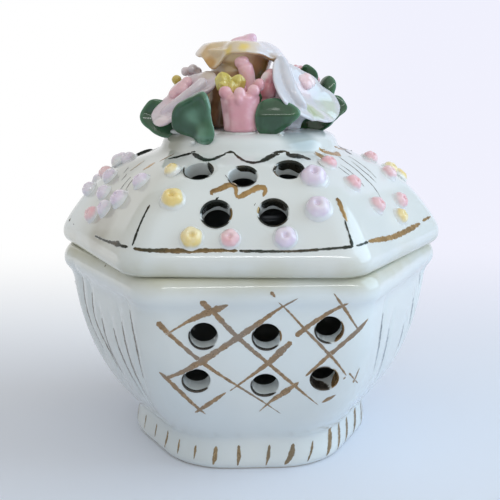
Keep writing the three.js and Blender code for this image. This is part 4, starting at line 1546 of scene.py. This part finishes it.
@dataclass(frozen=True)
class Leaf:
    """A pressed clay leaf: its outline round its middle, along it and across it, and how it is bent."""

    name: str
    centre: Triple
    along: Triple
    faces: Triple
    ring: Ring = PLAIN_LEAF
    cup: float = 0.06
    curl: float = 0.0
    lip: float = 0.0
    pale: float = 0.0
    thickness: float = 1.6
    knob: Triple | None = None

    def build(self) -> Piece:
        """Model the leaf: cupped, with a curled tip, a turned edge, a soft rib and a knob of clay at its foot."""
        reach = max(point[0] for point in self.ring)

        def lift(along: Array, across: Array, share: Array) -> Array:
            """Bend the leaf."""
            end = np.clip(along / reach, 0, 1)
            rib = -0.22 * np.exp(-((across / 0.8) ** 2)) * np.sign(self.cup)
            wave = 0.12 * np.sin(1.1 * along + across) * share ** 3
            rim = self.lip * np.exp(-(((share - 0.85) / 0.13) ** 2)) * np.sqrt(end)
            return self.cup * across ** 2 + self.curl * end ** 3 + rim + rib + wave + 1.2 * knob(along, across)

        def knob(along: Array, across: Array) -> Array:
            """Give the share of the knob at each place."""
            x, y, size = self.knob or (0, 0, 0.01)
            return np.exp(-(((along - x) ** 2 + (across - y) ** 2) / size ** 2)) * bool(self.knob)

        def pale(along: Array, across: Array, share: Array) -> Array:
            """Thin the glaze at the edge, in the middle and on the knob."""
            return 0.8 * share ** 6 + self.pale * np.exp(-((share / 0.55) ** 2)) + 1.6 * knob(along, across)

        piece = pad(self.centre, facing(self.along, self.faces), self.ring, self.thickness, lift, pale)
        piece.name = piece.data.name = self.name
        return smooth_shaded(modified(piece, "SUBSURF", levels=1, render_levels=1), 180)


@dataclass(frozen=True)
class OpenFlower:
    """A saucer of pressed petals, fused on a stem that widens to carry it.

    Its creases are the angles between petals, and each droop is an angle, how wide it is and how far the rim falls.
    """

    name: str
    centre: Triple
    along: Triple
    faces: Triple
    ring: Ring
    stem: Line
    stem_radii: tuple[float, ...]
    depth: float = 2.4
    thickness: float = 1.9
    rolled: float = 0.3
    creases: tuple[float, ...] = ()
    droops: Line = ()
    folds: tuple[tuple[Line, tuple[float, ...]], ...] = ()

    def build(self) -> Piece:
        """Fuse the saucer with its stem and its rolled folds."""

        def lift(along: Array, across: Array, share: Array) -> Array:
            """Hollow the saucer, press its creases and let its rim droop."""
            angle = np.degrees(np.arctan2(across, along))
            bent = -self.depth * (1 - share ** 1.8) - self.rolled * eased(share, 0.76, 1)
            for crease in self.creases:
                bent = bent - 0.5 * share ** 1.5 * np.exp(-(((angle - crease + 180) % 360 - 180) / 9) ** 2)
            for middle, width, fall in self.droops:
                bent = bent - fall * eased(share, 0.5, 1) * np.exp(-(((angle - middle + 180) % 360 - 180) / width) ** 2)
            return bent

        parts = [pad(self.centre, facing(self.along, self.faces), self.ring, self.thickness, lift),
                 rod(self.stem, self.stem_radii), *(rod(*fold) for fold in self.folds)]
        return fused(self.name, parts, 0.26, 5)


@dataclass(frozen=True)
class Cluster:
    """Lumps of clay fused on stems."""

    name: str
    lumps: tuple[tuple[Triple, Triple, Triple], ...]
    stems: tuple[tuple[Line, tuple[float, ...]], ...] = ()
    voxel: float = 0.24
    smoothing: int = 3

    def build(self) -> Piece:
        """Fuse the lumps and their stems."""
        parts = [blob(*lump) for lump in self.lumps]
        parts += [rod(*stem) for stem in self.stems]
        return fused(self.name, parts, self.voxel, self.smoothing)


@dataclass
class Bouquet:
    """The clay flowers, buds and leaves on the boss."""

    leaves: tuple[Leaf, ...] = (
        Leaf("leaf_front_left", (-12.6, -19, 3.8), (0, -0.1, 1), (-0.25, -1, 0.1), (
            (6.2, -2.5), (5.4, -3.6), (3.5, -4.3), (0.8, -4.5), (-1.2, -4.8), (-2.7, -5.4), (-4.6, -5.5), (-6.2, -4.5),
            (-6.5, -2.1), (-6, -0.4), (-4.9, 0.2), (-4.6, 1.7), (-4, 3.8), (-2.8, 5), (-0.9, 5.3), (1.4, 4.9),
            (2.9, 3.9), (3.9, 2.2), (4.8, 0.4), (5.7, -1.1)), cup=0.03, curl=-0.5, lip=0.9, pale=0.75, thickness=1.9,
            knob=(-4.5, -3.1, 1.9)),
        Leaf("leaf_front_right", (6.9, -17.6, 3.9), (1, 0, 0), (0.2, -1, 0.12), (
            (-0.5, 4.3), (1.1, 4.1), (2.8, 3.2), (4.6, 2.2), (6, 1), (5.6, 0), (3.9, -1.4), (2.2, -2.8),
            (0.4, -4.1), (-1.7, -4.9), (-3.6, -4.5), (-4.6, -3.3), (-5, -1.2), (-4.8, 1.2), (-4.3, 2.9),
            (-2.7, 3.9)), cup=-0.05, curl=-0.6),
        Leaf("leaf_left", (-20.9, -6.4, 3.2), (-1, 0, 0.2), (-0.3, -0.9, 0.15), (
            (1.9, -3.9), (4.5, -3.4), (5.7, -1.5), (6.5, 1.1), (5.7, 2.6), (3.4, 3.8), (0.7, 5), (-1.6, 5.1),
            (-3.5, 4.3), (-3.4, 0.8), (-1.3, -2.5)), cup=0.05, curl=0.4),
        Leaf("leaf_right", (19, 0.6, 3.2), (1, 0.1, 0.4), (-0.2, -0.85, 0.4), (
            (-8.3, -1.6), (-6.9, 0.9), (-4.4, 2), (0.4, 2.6), (4.8, 3.4), (6.1, 2.7), (6.4, 1.2), (6.6, -0.9),
            (5.6, -1.7), (4, -1.9), (1.7, -3), (-1.2, -4.6), (-4.8, -4.1)), cup=0.09, curl=0.5),
        Leaf("leaf_back_right", (14, 1, 8.7), (0.22, 0, 1), (0.4, 0.8, 0.2), (
            (5.2, -2.5), (6.5, -2), (7.6, -1.2), (7.1, 0.6), (6.2, 2.2), (5.3, 2.7), (3, 2.4), (-3, 1.9),
            (-8.6, 1.2), (-8.8, -1.2), (-3, -2.2)), cup=0.09, curl=-1.2),
        Leaf("leaf_back_low", (18, 3, 6), (0.3, 0, 1), (0.6, 0.6, 0.2), (
            (4.2, -2.6), (6.2, -2.4), (7.2, -1.8), (7.9, 0.2), (7, 2), (5.9, 2.8), (3.8, 2.5), (-2, 1.9),
            (-6.8, 1.2), (-7, -1.2), (-2, -2.2)), cup=0.12, curl=1),
        Leaf("leaf_back", (2.8, 15.8, 5), (0.22, -0.12, 0.97), (0.1, 1, 0.2), curl=1.2, lip=0.5),
        Leaf("leaf_back_left", (-14, 12.2, 4.6), (-0.28, -0.24, 0.93), (-0.5, 0.8, 0.2), curl=1.2, lip=0.5),
    )
    flowers: tuple[OpenFlower, ...] = (
        OpenFlower(
            "top_flower", (-2.5, -1, 20.5), (1, 0, 0), UP,
            around(12.7, 11.2, 10.2, 9.8, 10.1, 10.2, 9.6, 10.4, 11.4, 10.8, 10.9, 9.6, 11, 11, 10.4, 11.5),
            ((-4.6, -3.2, -0.6), (-4.6, -3, 4), (-4.5, -2.2, 9), (-3.9, -1.4, 12.5), (-2.3, -1, 15),
             (-2.5, -1, 18.2), (-2.5, -1, 20.8)),
            (6.6, 6.3, 6.1, 6.3, 6.9, 9.6, 9.8), depth=0.5, thickness=3.2, rolled=1.4, creases=(28, 100, 170, 322),
            droops=((0, 50, 2.4), (200, 18, 0.8), (233, 15, 4))),
        OpenFlower(
            "left_flower", (-16.4, -9.7, 8.1), (-0.75, -0.2, -0.65), (-0.52, -0.62, 0.6), (
                (8.6, -3.6), (6.7, -4.6), (3.8, -4.9), (1.3, -5.9), (-0.5, -6.6), (-3.3, -6.2), (-5.5, -4.9),
                (-7.3, -4.4), (-9.2, -1.9), (-10.3, 0.8), (-9.1, 3.8), (-7, 5), (-4.6, 4.1), (-1.3, 2.5),
                (1.6, 2.2), (4.3, 3.1), (5.8, 5), (7.4, 4), (9.3, 2.4), (9.5, -0.6)),
            ((-12.4, -7.8, -0.6), (-12.8, -8, 3), (-14.2, -8.6, 5.2), (-15.2, -8.8, 6.4)), (3.4, 3.8, 4.6, 5),
            creases=(75, 150, 205, 290, 348),
            folds=((((-22, -9.2, 3.9), (-20.2, -9.8, 5.1), (-17.9, -10.3, 6.5), (-15.6, -10.7, 8),
                     (-13.4, -11.1, 9.6), (-11.4, -10.9, 11.3), (-10.2, -10.2, 12.8)),
                    (0.6, 0.9, 1.2, 1.35, 1.4, 1.35, 1)),)),
        OpenFlower(
            "right_flower", (14.2, -9.4, 8.6), (0.6, 0.1, -0.6), (0.6, -0.5, 0.62), (
                (-10.3, 5.1), (-7, 6), (-3.9, 7.6), (-1, 9.9), (2.4, 10.2), (6.9, 11.2), (9.4, 9.8), (10.2, 6.4),
                (9.4, 0.6), (5.7, -3.9), (2.2, -7.7), (-1.6, -9.4), (-5.3, -9), (-8.2, -6.7), (-10.3, -2.9),
                (-11.4, 1.4)),
            ((10.2, -6.4, -0.6), (10.5, -6.8, 3), (11.7, -7.8, 5.6), (12.9, -8.4, 7)), (2.7, 2.9, 4.2, 5.8),
            depth=2.2, creases=(12, 75, 150, 262, 318),
            folds=((((7.4, -5.6, 17.9), (8.2, -7.8, 15.4), (8.8, -10.2, 12.8), (9.8, -12, 10.4), (11.3, -12.9, 8.1),
                     (13.2, -13.2, 6.2), (14.4, -12.9, 5.3)), (1.3, 1.9, 2.15, 2.1, 1.9, 1.4, 0.8)),
                   (((9.2, -7.4, -0.6), (9.2, -7.8, 4), (9.2, -8.6, 7.6), (9.2, -9.2, 11.4)), (2.6, 2.8, 3.1, 2.4)))),
    )
    clusters: tuple[Cluster, ...] = (
        Cluster("top_flower_centre", (
            ((-1.6, -1, 20.9), (3.8, 3.2, 1.6), UP), ((-2.6, -1, 21.9), (2.8, 1.7, 1), (-0.25, 0, 1)),
            ((-0.5, -1, 22.2), (1.9, 1.7, 1.3), (-0.4, 0, 1)),
            ((0.6, -1, 22.2), (1.4, 1.6, 1.6), (0.2, 0, 1))),
            smoothing=7),
        Cluster("left_flower_centre", tuple(
            (place, (1.6, 1.5, 1.2), (-0.52, -0.62, 0.6)) for place in (
                (-18.7, -6.3, 8.9), (-17.7, -6.5, 9.8), (-16.7, -6.5, 10.7), (-15.4, -6.6, 11.8), (-16.4, -7.5, 10))),
            smoothing=12),
        Cluster("right_flower_centre", tuple(
            (place, (1.9, 1.7, 1.2), (0.6, -0.5, 0.62)) for place in (
                (13.3, -4.8, 12.2), (14.6, -3.6, 12.5), (15.2, -3.6, 11.7), (14.4, -5, 11.3))), smoothing=12),
        Cluster("pink_pistil", (((-1.6, -9, 16.6), (1.9, 1.6, 1.8), (-0.6, 0, 1)),),
            ((((0.2, -8.6, -0.5), (-0.1, -8.6, 6), (0, -8.6, 11.8), (-0.4, -8.8, 14.2), (-1.3, -9, 16.7)),
              (1.7, 1.7, 1.8, 1.95, 1.9)),), smoothing=6),
        Cluster("pink_bud", (
            ((4.9, -9.4, 9.8), (2.05, 1.75, 2.5), UP), ((5.3, -9.5, 12.6), (1.75, 1.5, 2.4), (0.1, 0, 1)),
            ((3.7, -9.9, 12.2), (0.85, 0.9, 2.2), (0.35, 0, 1))),
            ((((4.8, -9, -0.5), (4.8, -9, 4), (4.6, -9.2, 8.6)), (1.6, 1.4, 1.7)),)),
        Cluster("lilac_buds_back", (
            ((-16.8, 3.4, 14.4), (1.15, 1.2, 1.2), UP), ((-14.8, 3.4, 15.1), (1.3, 1.3, 1.2), UP),
            ((-13.7, 4, 14.3), (1.25, 1.3, 1.3), UP), ((-15.5, 5.4, 14.2), (1.4, 1.3, 1.3), UP)),
            ((((-14.4, 4.4, -0.5), (-14.4, 4.2, 6), (-15, 4, 13.4)), (2.2, 1.8, 1.9)),)),
        Cluster("yellow_bud_back", (((-19.2, 4.3, 12.3), (1.35, 1.3, 1.3), UP),),
            ((((-17.8, 4.6, -0.4), (-18.3, 4.5, 5), (-19.1, 4.3, 11.6)), (1.5, 1.1, 1.1)),)),
        Cluster("pink_buds_back", (
            ((11.8, 2, 15.3), (0.85, 0.9, 0.8), UP), ((13.2, 2.6, 14.9), (1.3, 1.2, 0.95), (0.3, 0, 1)),
            ((14.7, 3, 14.6), (0.95, 0.9, 0.9), UP), ((17.4, 2.6, 12.2), (0.8, 0.8, 0.9), UP)),
            ((((12.4, 3, -0.4), (12.4, 2.8, 7), (13, 2.7, 14)), (2, 1.6, 1.5)),)),
    )

    def tube(self) -> Piece:
        """Model the pink tube flower: a ribbed cup with knobbed petal tips, one of them dripping."""
        tips = (((-5.2, -16.9, 9.4), (1.65, 1.6, 1.55), (-0.2, -0.3, 1)),
                ((-1.7, -18.5, 9.2), (1.45, 1.4, 1.5), UP),
                ((1.5, -17.2, 9.7), (1.6, 1.5, 1.6), (0.3, -0.2, 1)),
                ((2.7, -14.2, 11), (1.5, 1.5, 1.7), (0.3, 0, 1)),
                ((-5.6, -13.2, 9.6), (1.5, 1.6, 1.5), (-0.3, 0.2, 1)),
                ((-1.6, -11.4, 9.8), (1.6, 1.5, 1.6), (0, 0.4, 1)))
        parts = [blob(*tip) for tip in tips]
        middle = ((-1.5, -15, -0.8), (-1.5, -15, 0.6), (-1.6, -15, 3.5), (-1.7, -15, 7), (-1.8, -15, 9.2),
                  (-1.8, -15, 9.6))
        parts.append(rod(middle, (4.6, 4.2, 4.4, 4.75, 4.95, 4.6), ribs=0.07, count=7, phase=math.pi))
        parts.append(rod(((-1.8, -19.3, 9.2), (-1.9, -19.5, 8), (-2, -19.4, 6.3)), (1, 0.9, 0.95)))
        return fused("pink_tube_flower", parts, 0.25, 12)

    def stamens(self) -> Piece:
        """Model the yellow ruffles: grooved lumps of clay that lean apart."""
        parts = [rod(path, radii, ribs=0.34, count=count, phase=0.8) for path, radii, count in (
            (((-5.2, -12.8, 9.2), (-5.9, -13.4, 12), (-6.3, -13.8, 14.3)), (1.9, 2.3, 1.7), 5),
            (((-4.4, -13.4, 9.2), (-5.6, -14.8, 10.9), (-6.8, -15.6, 11.7)), (1.5, 1.7, 1), 5),
            (((-3.4, -12.6, 9.2), (-2.3, -13, 11.8), (-1.9, -13.4, 13.7)), (1.8, 2.1, 1.5), 4),
            (((-4, -13.6, 9), (-3.9, -14.9, 10.8), (-3.6, -15.4, 12.3)), (1.6, 1.5, 0.9), 5))]
        return fused("yellow_stamens", parts, 0.18, 6)

    def drops(self) -> Piece:
        """Model the glaze that pooled round the stems and ran over the boss's edge."""
        places = (((-1.5, -14), 5, 0.2), ((-9.4, -15.2), 3.2, 0.2), ((6, -14.6), 3.2, 0.2),
                  ((-3.2, -3), 7.4, 0.6), ((-13.2, -8), 5.2, 0.6), ((10.4, -6.6), 4.2, 0.1),
                  ((-14.6, 5), 4.4, 0.7), ((12.8, 4.4), 4.6, 0.7), ((2.6, 15), 4.4, 0.6),
                  ((-12.2, 12), 4.4, 0.5), ((-16.6, -8), 3.2, 0.2), ((6, 2), 7, 0.5),
                  ((-4, 8), 8, 0.5))
        parts = [blob((x, y, -0.3), (reach, reach, rise + 0.7)) for (x, y), reach, rise in places]
        parts += [blob(place, size) for place, size in (
            ((-12.9, -19, -2.2), (0.9, 0.8, 0.7)), ((8, -18.2, -0.6), (0.8, 0.7, 0.4)))]
        return fused("glaze_pool", parts, 0.34, 8)

    @staticmethod
    def show_upper(piece: Piece) -> None:
        """Tag the upper faces of the top flower, which the white glaze covers, apart from those that look down: these
        take the amber, deepened as painted shade.
        """
        normals = np.empty(len(piece.data.vertices) * 3)
        piece.data.vertices.foreach_get("normal", normals)
        high = coordinates(piece)[:, 2] / MM - SEAT.height
        tagged(piece, "upper", eased(normals[2::3], -0.35, 0.1) * eased(high, 13.6, 15.6))

    def glazes(self) -> dict[str, PaintedGlaze]:
        """List the painted glazes by piece."""
        # amber is the top flower's underside glaze, deepened as painted shade; brown is painted shade where the flowers
        # shade their stems.
        amber, brown = (0.36, 0.165, 0.035), (0.1, 0.052, 0.028)
        return {
            "pink_tube_flower": PaintedGlaze("tube_pink", Slot.PINK, (0.74, 0.36, 0.42), (0.84, 0.52, 0.57), (
                # Painted shade darker at the tube's foot on the boss, and painted light paler at its top.
                daub((-1.6, -18.6, 0.4), 3.6, (0.64, 0.3, 0.35), 0.5),
                daub((-1.8, -18, 10.4), 4.4, (0.9, 0.6, 0.64), 0.7))),
            "pink_pistil": PaintedGlaze("pistil_pink", Slot.PINK, (0.88, 0.5, 0.57), (0.92, 0.68, 0.72)),
            "pink_bud": PaintedGlaze("bud_pink", Slot.PINK, (0.8, 0.34, 0.4), (0.88, 0.54, 0.58), (
                # Painted highlight near-white on the bud's upper left, and painted shade darker at its foot.
                daub((3.2, -11, 13.6), 2.6, (0.93, 0.88, 0.9), 0.9),
                daub((4.6, -9, 7.2), 2.6, (0.55, 0.22, 0.28), 0.6))),
            "top_flower_centre": PaintedGlaze("top_centre_pink", Slot.PINK, (0.84, 0.5, 0.62), (0.88, 0.64, 0.72), (
                daub((1, -1.6, 22.6), 2, (0.74, 0.5, 0.68), 0.6),
                daub((-4.6, -1.6, 21.6), 2, (0.72, 0.44, 0.46), 0.6))),
            "left_flower_centre": PaintedGlaze("left_centre_pink", Slot.PINK, (0.86, 0.56, 0.62), (0.88, 0.68, 0.73)),
            "right_flower_centre": PaintedGlaze("right_centre_pink", Slot.PINK, (0.88, 0.64, 0.69), (0.9, 0.76, 0.79)),
            "yellow_stamens": PaintedGlaze("stamen_yellow", Slot.YELLOW, (0.6, 0.5, 0.11), (0.78, 0.7, 0.27)),
            "yellow_bud_back": PaintedGlaze("bud_yellow", Slot.YELLOW, (0.62, 0.46, 0.09), (0.78, 0.66, 0.24)),
            "lilac_buds_back": PaintedGlaze("bud_lilac", Slot.LILAC, (0.76, 0.66, 0.71), (0.84, 0.78, 0.82)),
            "pink_buds_back": PaintedGlaze("small_pink", Slot.PINK, (0.78, 0.36, 0.42), (0.82, 0.52, 0.58)),
            "top_flower": PaintedGlaze("top_petals", Slot.AMBER, (0.74, 0.71, 0.76), (0.77, 0.73, 0.72), (
                daub((-10, -8, 19), 6.6, (0.66, 0.45, 0.22), 0.9),
                daub((-4, -10, 21), 8.6, (0.76, 0.62, 0.42), 0.8),
                daub((-6, -11.6, 20), 2.8, (0.8, 0.58, 0.1), 1),
                daub((-0.8, -11.8, 20.6), 2.3, (0.82, 0.62, 0.14), 1),
                # Painted shade: the dark amber under the left fold, the brown stem column, and the olive and
                # amber-brown under the petals on the right.
                daub((-9.6, -8.4, 16.2), 2.2, (0.5, 0.26, 0.06), 0.85),
                daub((-5, -7, 15.6), 3.2, (0.72, 0.52, 0.24), 0.7),
                daub((-3, -8, 1), 10.5, brown, 0.95),
                daub((3.4, -5.5, 12.4), 3.6, (0.14, 0.12, 0.03), 0.8),
                daub((5.4, -6.5, 16), 3.4, (0.34, 0.18, 0.03), 0.8),
                daub((-2.5, -1, 22), 5, (0.83, 0.48, 0.53), 0.5)), pooled="upper", pool_colour=amber),
            "left_flower": PaintedGlaze("left_petals", Slot.LILAC, (0.73, 0.62, 0.7), (0.76, 0.7, 0.76), (
                daub((-18.2, -7.6, 8.8), 4.6, (0.8, 0.6, 0.65), 0.7),
                daub((-9.8, -7.6, 14), 3.4, (0.72, 0.62, 0.5), 0.7),
                # Painted shade: brown on the flower's side by the stems.
                daub((-9.4, -8, 8), 4.6, brown, 0.8),
                daub((-21.5, -13.5, 3.4), 3.8, (0.82, 0.66, 0.7), 0.6))),
            "right_flower": PaintedGlaze("right_petals", Slot.LILAC, (0.63, 0.64, 0.71), (0.7, 0.69, 0.74), (
                daub((14.8, -8.6, 10.6), 4.4, (0.84, 0.62, 0.66), 0.6),
                daub((16.6, -11.6, 5.6), 4.2, (0.4, 0.5, 0.26), 0.8),
                daub((20.6, -5, 6.4), 5.4, (0.56, 0.64, 0.52), 0.75),
                daub((19, -2.4, 10), 4.4, (0.6, 0.65, 0.7), 0.6),
                daub((10.4, -11.6, 6.4), 3.6, (0.46, 0.47, 0.5), 0.6))),
        }

    def build(self) -> Group:
        """Model every flower, bud and leaf."""
        made = {part.name: part.build() for part in (*self.leaves, *self.clusters)}
        made["pink_tube_flower"] = self.tube()
        made["yellow_stamens"] = self.stamens()
        made |= {flower.name: flower.build() for flower in self.flowers}
        self.show_upper(made["top_flower"])
        made["glaze_pool"] = self.drops()
        for name, piece in made.items():
            piece.name = piece.data.name = name + "_clay"
        return made

    def dress(self, pieces: Group) -> None:
        """Glaze every piece."""
        glazes = self.glazes()
        leaf = LeafGlaze("leaf_green").made()
        light_leaf = LeafGlaze("leaf_green_light", (0.012, 0.068, 0.028), (0.03, 0.125, 0.06),
                               (0.15, 0.34, 0.24)).made()
        pool = ClearGlaze("pool_glaze", seam=0).made()
        for name, piece in pieces.items():
            if name in glazes:
                dressed(piece, glazes[name].made(), Body.LID, glazes[name].slot, name)
            elif name == "glaze_pool":
                dressed(piece, pool, Body.LID, Slot.WHITE)
            else:
                dressed(piece, light_leaf if name == "leaf_front_left" else leaf, Body.LID, Slot.GREEN, name)


# Studio


@dataclass(frozen=True)
class Lamp:
    """A soft rectangular lamp: where it hangs, its width and height, its power in watts and where it looks."""

    name: str
    place: Triple
    size: Pair
    watts: float
    colour: Colour
    aim: Triple = (0, 0, 45)

    def hang(self) -> None:
        """Add the lamp to the scene."""
        data = bpy.data.lights.new(self.name, "AREA")
        data.shape = "RECTANGLE"
        data.size, data.size_y = self.size[0] * MM, self.size[1] * MM
        data.energy = self.watts
        data.color = self.colour
        lamp = bpy.data.objects.new(self.name, data)
        bpy.context.scene.collection.objects.link(lamp)
        lamp.location = Vector(self.place) * MM
        sight = Vector(self.aim) * MM - lamp.location
        lamp.rotation_euler = sight.to_track_quat("-Z", "Y").to_euler()


@dataclass
class Studio:
    """The floor with its sweep, the soft lamps, the room's light and the camera."""

    lamps: tuple[Lamp, ...] = (
        Lamp("window", (540, -60, 300), (480, 480), 1.8, (0.58, 0.8, 1.0)),
        Lamp("ceiling", (150, -380, 640), (900, 900), 0.75, (0.96, 0.99, 1.0)),
        Lamp("tube", (120, -540, 440), (540, 20), 0.36, WHITE),
    )
    room: Colour = (1.0, 0.98, 0.9)
    room_strength: float = 0.56
    camera_distance: float = 210.73
    camera_height: float = 93.58
    camera_turn: float = -1.98
    camera_pitch: float = 12.02
    camera_roll: float = -0.17
    lens: float = 58.0
    sensor_width: float = 36.0
    clip_start: float = 0.01
    half_floor: float = 1600.0
    sweep: float = 500.0

    @staticmethod
    def pick_back_edge(paper: Piece) -> None:
        """Select the floor's back edge, in edit mode."""
        enter_mode("EDIT")
        bpy.ops.mesh.select_mode(type="EDGE")
        bpy.ops.mesh.select_all(action="DESELECT")
        enter_mode("OBJECT")
        for edge in paper.data.edges:
            ends = [paper.data.vertices[v].co for v in edge.vertices]
            edge.select = all(e.y > 0 and abs(e.z) < HAIR for e in ends)
        enter_mode("EDIT")

    def floor(self) -> None:
        """Model the floor and the backdrop that curves up behind it."""
        deselect()
        bpy.ops.mesh.primitive_plane_add(size=2 * self.half_floor * MM, location=(0, 0, 0))
        paper = bpy.context.object
        paper.name = "floor_paper"
        self.pick_back_edge(paper)
        bpy.ops.mesh.extrude_region_move(TRANSFORM_OT_translate={"value": (0, 0, 2 * self.half_floor * MM)})
        self.pick_back_edge(paper)
        bpy.ops.mesh.bevel(offset=self.sweep * MM, segments=14)
        enter_mode("OBJECT")
        smooth_shaded(outward(paper), 60)
        paper.data.materials.append(FloorPaper().made())

    def world(self) -> None:
        """Light the room evenly, and keep it white where it is seen."""
        world = bpy.data.worlds.new("room")
        bpy.context.scene.world = world
        world.use_nodes = True
        tree = world.node_tree
        light = tree.nodes["Background"]
        light.inputs["Color"].default_value = (*self.room, 1)
        light.inputs["Strength"].default_value = self.room_strength
        seen = tree.nodes.new("ShaderNodeBackground")
        seen.inputs["Color"].default_value = (*WHITE, 1)
        path = tree.nodes.new("ShaderNodeLightPath")
        mix = tree.nodes.new("ShaderNodeMixShader")
        tree.links.new(path.outputs["Is Camera Ray"], mix.inputs["Fac"])
        tree.links.new(light.outputs[0], mix.inputs[1])
        tree.links.new(seen.outputs[0], mix.inputs[2])
        tree.links.new(mix.outputs[0], tree.nodes["World Output"].inputs["Surface"])

    def camera(self) -> None:
        """Set the camera at the photograph's angle."""
        data = bpy.data.cameras.new("camera")
        data.lens = self.lens
        data.sensor_width = self.sensor_width
        data.sensor_fit = "HORIZONTAL"
        data.clip_start = self.clip_start
        camera = bpy.data.objects.new("camera", data)
        bpy.context.scene.collection.objects.link(camera)
        turn = math.radians(self.camera_turn)
        camera.location = Vector((self.camera_distance * math.sin(turn), -self.camera_distance * math.cos(turn),
                                  self.camera_height)) * MM
        level = Matrix.Rotation(turn, 4, "Z") @ Matrix.Rotation(math.radians(90 - self.camera_pitch), 4, "X")
        camera.rotation_euler = (level @ Matrix.Rotation(math.radians(self.camera_roll), 4, "Z")).to_euler()
        bpy.context.scene.camera = camera

    def build(self) -> None:
        """Set up the floor, the lamps, the room and the camera."""
        self.floor()
        for lamp in self.lamps:
            lamp.hang()
        self.world()
        self.camera()
        bpy.context.scene.view_settings.view_transform = "Standard"


def main() -> None:
    """Build the box class by class."""
    logging.basicConfig(level=logging.INFO, format="%(name)s: %(message)s")
    Studio().build()
    jar = Jar()
    jar.dress(jar.build())
    jar_gilding = JarGilding(jar)
    jar_gilding.dress(jar_gilding.build())
    lid = LidShell()
    lid.dress(lid.build())
    lid_gilding = LidGilding(lid)
    lid_gilding.dress(lid_gilding.build())
    rosettes = Rosettes(lid)
    rosettes.dress(rosettes.build())
    bouquet = Bouquet()
    bouquet.dress(bouquet.build())


if __name__ == "__main__":
    main()
